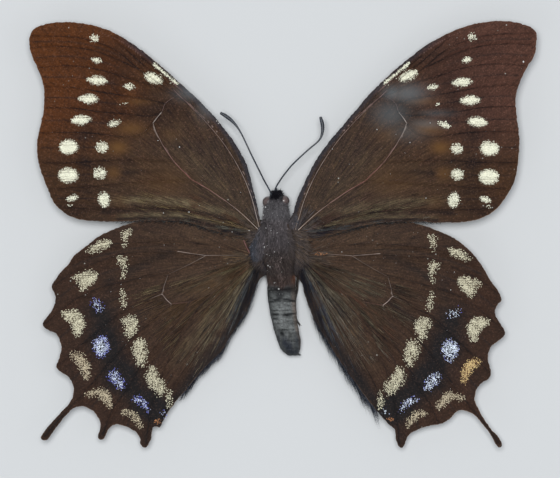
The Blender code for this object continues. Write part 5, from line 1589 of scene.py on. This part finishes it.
# A tube with a radius for each point of its line, and hairs that lie along it and stand a little off
def addPalp(side, sideName, seed):
    draw = np.random.default_rng(seed)
    joints = [(palps["middle"] + side * x, y, z, r) for (x, y, z), r in zip(palps["line"], palps["radii"])]
    path = smooth(joints, 0.06)
    points, faces = tubeShape(path[:, :3], path[:, 3], 20)
    addPiece("palp_core_" + sideName, points, faces, legHorn, replaces=("palp_" + sideName,))
    count = palps["count"]
    pick = draw.integers(2, len(path) - 2, count)
    turn = draw.uniform(0, 2 * np.pi, count)
    flow = unit(np.gradient(path[:, :3], axis=0)[pick])
    across = np.cross(flow, (1.0, 0.0, 0.0))
    normal = np.array([1.0, 0.0, 0.0]) * np.cos(turn)[:, None] + across * np.sin(turn)[:, None]
    root = path[pick, :3] + normal * (path[pick, 3] * 0.85)[:, None]
    lie = flow * 1.0 + normal * 0.45 + draw.normal(0, 0.15, (count, 3))
    tint = np.where(draw.uniform(0, 1, (count, 1)) < 0.7, bodyLook["head"][:3], bodyLook["collar"][:3])
    spot = np.column_stack([turn / (2 * np.pi), pick / len(path)])
    length, width = draw.uniform(0.25, 0.45, count), np.full(count, 0.07)
    addTufts("palp_hair_" + sideName, root, lie, normal, length, width, normal * 0.05, tint, spot,
             blackHair)


for side, sideName in ((-1, "left"), (1, "right")):
    addPalp(side, sideName, 90 + side)
print("head finished")


# The fur's height over a place on the body: the top of the rounded square that the stations give
def furTop(x, ahead):
    centre, half, low, high = (np.interp(ahead, bodyTable[:, 0], bodyTable[:, k]) for k in (1, 2, 3, 4))
    off = np.clip(np.abs(x - centre) / half, 0, 0.98)
    power = bodyShape["squareness"]
    return (low + high) / 2 + (high - low) / 2 * (1 - off**power) ** (1 / power)


# Dust and painted glints: pale flecks of six corners, scattered on body and wings, and a few large ones that
# stand for glints of light. Those of the body are x, ahead and size, those of a wing are out, ahead and size.
bigDustAndGlints = [(-3.5, 5.6, 0.17), (-3.9, 4.0, 0.13), (-3.4, 1.4, 0.12), (-3.7, -2.4, 0.16), (-1.7, -3.4, 0.12),
             (-3.0, -6.1, 0.15), (-3.4, -7.5, 0.20), (-1.7, -9.6, 0.14), (-0.8, -10.8, 0.26),
             (-4.4, -0.6, 0.14), (-3.2, -3.9, 0.12), (-2.6, -6.4, 0.12), (-4.0, -1.6, 0.10),
             (-2.4, 0.9, 0.10), (-1.2, 0.4, 0.10)]
wingDustAndGlints = {
    "forewing_left": [(10.2, 0.6, 0.16), (6.8, 0.9, 0.18), (20.7, 17.6, 0.13), (23.9, 4.4, 0.16),
                      (18.8, 4.6, 0.15), (25.0, 18.9, 0.11)],
    "forewing_right": [(18.8, 21.1, 0.12), (9.9, 17.2, 0.12), (29.4, 22.4, 0.12), (25.4, 18.5, 0.11),
                       (28.6, 7.4, 0.11), (48.0, 34.6, 0.22), (24.4, 16.4, 0.10), (22.6, 20.1, 0.10)],
    "hindwing_right": [(33.6, -11.0, 0.14), (34.3, -7.4, 0.11), (11.8, -3.4, 0.10)],
    "hindwing_left": [(32.4, -9.9, 0.11), (14.9, -10.6, 0.12), (23.8, -2.0, 0.10)],
}


# Each fleck is a double pyramid whose corners stand off its middle by its size and a random factor
def addDustAndGlints():
    draw = np.random.default_rng(200)
    root = bodyPlaces(draw, 260, (-12.0, 6.0), (20, 160), -0.48)[0]
    kept = draw.uniform(0, 1, len(root)) < 0.35 + 0.65 * ramp(-root[:, 0], 0.0, 3.0)
    spots, sizes = [root[kept]], [0.035 + 0.045 * draw.uniform(0, 1, kept.sum()) ** 3]
    large = np.array(bigDustAndGlints)
    spots.append(np.column_stack([large[:, :2], furTop(large[:, 0], large[:, 1]) + 0.25]))
    sizes.append(large[:, 2])
    for wing in wings:
        plan = wing["plan"]
        pick = draw.choice(len(wing["place"]), 150, replace=False)
        pick = pick[draw.uniform(0, 1, 150) < np.exp(-wing["fields"]["reach"][pick] / 26)]
        own = np.array(wingDustAndGlints[plan["name"]])
        flat = np.vstack([wing["place"][pick], own[:, :2]])
        spots.append(np.column_stack([plan["side"] * flat[:, 0], flat[:, 1], topLevel(wing, flat) + 0.06]))
        sizes += [0.035 + 0.04 * draw.uniform(0, 1, len(pick)) ** 3, own[:, 2]]
    spot, size = np.vstack(spots), np.concatenate(sizes)
    corner = np.array([(1, 0, 0), (0, 1, 0), (-1, 0, 0), (0, -1, 0), (0, 0, 0.6), (0, 0, -0.6)], float)
    points = spot[:, None] + corner * size[:, None, None] * draw.uniform(0.5, 1.3, (len(spot), 6, 1))
    face = np.array([(a, (a + 1) % 4, 4) for a in range(4)] + [((a + 1) % 4, a, 5) for a in range(4)])
    faces = (face + (np.arange(len(spot)) * 6)[:, None, None]).reshape(-1, 3)
    # Painted glints: the larger a fleck, the brighter it is painted
    glow = np.clip(0.35 + 5.0 * size, 0, 1)[:, None] * draw.uniform(0.7, 1.0, (len(spot), 1))
    tint = np.array([0.86, 0.87, 0.86]) * glow
    addPiece("dust_and_glint_flecks", points.reshape(-1, 3), [faces], spotScales,
             colours=np.repeat(tint, 6, axis=0))


addDustAndGlints()

# Legs: stations (out from the body's middle, ahead, up, radius) from the hip to the last toe
footUp = 0.20
legs = {
    "foreleg": [(1.2, 1.6, 3.4, 0.62), (2.4, 2.4, 2.2, 0.46), (6.8, 3.4, 3.8, 0.34), (10.2, 6.4, 0.9, 0.22),
                (11.0, 8.0, footUp, 0.19), (11.6, 10.2, footUp, 0.17)],
    "midleg": [(1.4, -1.0, 3.2, 0.62), (2.8, -1.2, 1.9, 0.46), (7.4, -0.8, 3.9, 0.34),
               (11.0, -2.2, 0.9, 0.22), (12.4, -2.8, footUp, 0.19), (14.8, -3.4, footUp, 0.17)],
    "hindleg": [(1.3, -4.0, 3.3, 0.62), (2.6, -4.6, 2.0, 0.46), (5.8, -6.4, 4.0, 0.34),
                (8.0, -10.8, 0.9, 0.22), (8.4, -12.4, footUp, 0.19), (9.0, -15.4, footUp, 0.17)],
    "folded": [(1.3, -4.0, 3.3, 0.62), (2.4, -4.8, 2.0, 0.46), (4.3, -6.8, 3.4, 0.34), (3.9, -9.4, 2.4, 0.26),
               (3.8, -11.4, 1.5, 0.23), (3.3, -13.6, 0.9, 0.20), (3.2, -15.4, footUp, 0.19),
               (3.7, -17.0, footUp, 0.18), (4.4, -18.2, footUp, 0.17)],
}
bristles = {"count": 420, "length": (0.18, 0.40), "width": 0.05, "tint": paint(60, 50, 44)}


# The leg: thigh and shin taper, and the foot is five short joints, each fuller at its end, then two hooked
# claws
def addLeg(name, side, joints, shinEnd, seed):
    draw = np.random.default_rng(seed)
    rows = [(side * out - bodyOut, ahead, up, radius) for out, ahead, up, radius in joints]
    path = smooth(rows, 0.08)
    path[:, 2] = np.maximum(path[:, 2], path[:, 3])
    share = shareAlong(path[:, :3])
    footStart = share[np.argmin(np.linalg.norm(path[:, :3] - np.array(rows[shinEnd][:3]), axis=1))]
    phase = np.clip((share - footStart) / (1 - footStart), 0, 1) * 5 % 1.0
    radius = path[:, 3] * np.where(share > footStart, 0.80 + 0.28 * phase, 1.0)
    points, faces = tubeShape(path[:, :3], radius, 18)
    points[:, 2] = np.maximum(points[:, 2], 0.0)
    addPiece(name + "_horn", points, faces, legHorn, replaces=(name,))
    end = path[-1, :3]
    flow = path[-1, :3] - path[-8, :3]
    flow /= np.linalg.norm(flow)
    sideways = np.cross(flow, (0, 0, 1.0))
    turn = np.linspace(0, np.radians(100), 12)
    for k, hand in enumerate((-1, 1)):
        spread = hand * (0.10 + 0.10 * np.sin(turn))
        hook = (end + flow * (0.34 * np.sin(turn))[:, None] + sideways * spread[:, None]
                + np.array([0, 0, 1.0]) * (0.08 * np.sin(turn * 1.6))[:, None])
        hook[:, 2] = np.maximum(hook[:, 2] - 0.02, 0.06)
        shape, clawFaces = tubeShape(hook, np.linspace(0.055, 0.015, 12), 10)
        addPiece(f"{name}_claw_{k}", shape, clawFaces, legHorn)
    count = bristles["count"]
    pick = draw.integers(int(len(path) * 0.12), len(path) - 6, count)
    spin = draw.uniform(0, 2 * np.pi, count)
    flow = unit(np.gradient(path[:, :3], axis=0)[pick])
    across = unit(np.cross(flow, (0.0, 0.0, 1.0)))
    over = np.cross(across, flow)
    normal = across * np.cos(spin)[:, None] + over * np.sin(spin)[:, None]
    root = path[pick, :3] + normal * (radius[pick] * 0.9)[:, None]
    clear = root[:, 2] + normal[:, 2] * 0.1 > 0.12
    root, normal, flow, pick, spin = root[clear], normal[clear], flow[clear], pick[clear], spin[clear]
    lie = flow * 1.0 + normal * 0.35
    lie[:, 2] = np.where(root[:, 2] < 0.6, np.maximum(lie[:, 2], 0), lie[:, 2])
    tint = np.array(bristles["tint"][:3]) * draw.uniform(0.6, 1.6, (len(root), 1))
    spot = np.column_stack([spin / (2 * np.pi), pick / len(path)])
    length, width = draw.uniform(*bristles["length"], len(root)), np.full(len(root), bristles["width"])
    addTufts(name + "_bristles", root, lie, normal, length, width, normal * 0.02, tint, spot, hair)


for side, sideName in ((-1, "left"), (1, "right")):
    addLeg("foreleg_" + sideName, side, legs["foreleg"], 3, 100 + side)
    addLeg("midleg_" + sideName, side, legs["midleg"], 3, 103 + side)
addLeg("hindleg_left", -1, legs["hindleg"], 3, 106)
addLeg("hindleg_right", 1, legs["folded"], 4, 107)
print("legs built")


# The stage: a plain pale floor and soft studio light from above. Lamps are name, place, size and power.
stageLook = {
    "floor": paint(208, 211, 213), "size": 3.0, "air": paint(226, 232, 240), "airStrength": 0.29,
    "lamps": (("key", (-0.02, 0.05, 1.1), 0.26, 12.0), ("fill", (0.30, -0.1, 1.0), 0.6, 0.8),
              ("rear", (-0.3, -0.40, 0.9), 0.6, 0.7)),
}


# A square floor, round lamps that face the middle of it, and the air's own light
def addStage():
    sheet = Sheet("floor", 0.85, Specular_IOR_Level=0.2)
    sheet.wearing(stageLook["floor"])
    half = stageLook["size"] / 2
    mesh = bpy.data.meshes.new("floor")
    corners = [(-half, -half, 0), (half, -half, 0), (half, half, 0), (-half, half, 0)]
    mesh.from_pydata(corners, [], [(0, 1, 2, 3)])
    mesh.materials.append(sheet.material)
    floor = bpy.data.objects.new("floor", mesh)
    bpy.context.scene.collection.objects.link(floor)
    floor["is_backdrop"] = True
    for name, place, size, power in stageLook["lamps"]:
        lamp = bpy.data.lights.new(name, "AREA")
        lamp.shape, lamp.size, lamp.energy = "DISK", size, power
        holder = bpy.data.objects.new(name, lamp)
        holder.location = place
        holder.rotation_euler = (-Vector(place)).to_track_quat("-Z", "Y").to_euler()
        bpy.context.scene.collection.objects.link(holder)
    world = bpy.context.scene.world or bpy.data.worlds.new("world")
    bpy.context.scene.world = world
    world.use_nodes = True
    air = world.node_tree.nodes["Background"].inputs
    air["Color"].default_value = stageLook["air"]
    air["Strength"].default_value = stageLook["airStrength"]
    bpy.context.scene.view_settings.view_transform = "Standard"


addStage()
print("stage set")

newBox = [list(corner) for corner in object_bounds()]
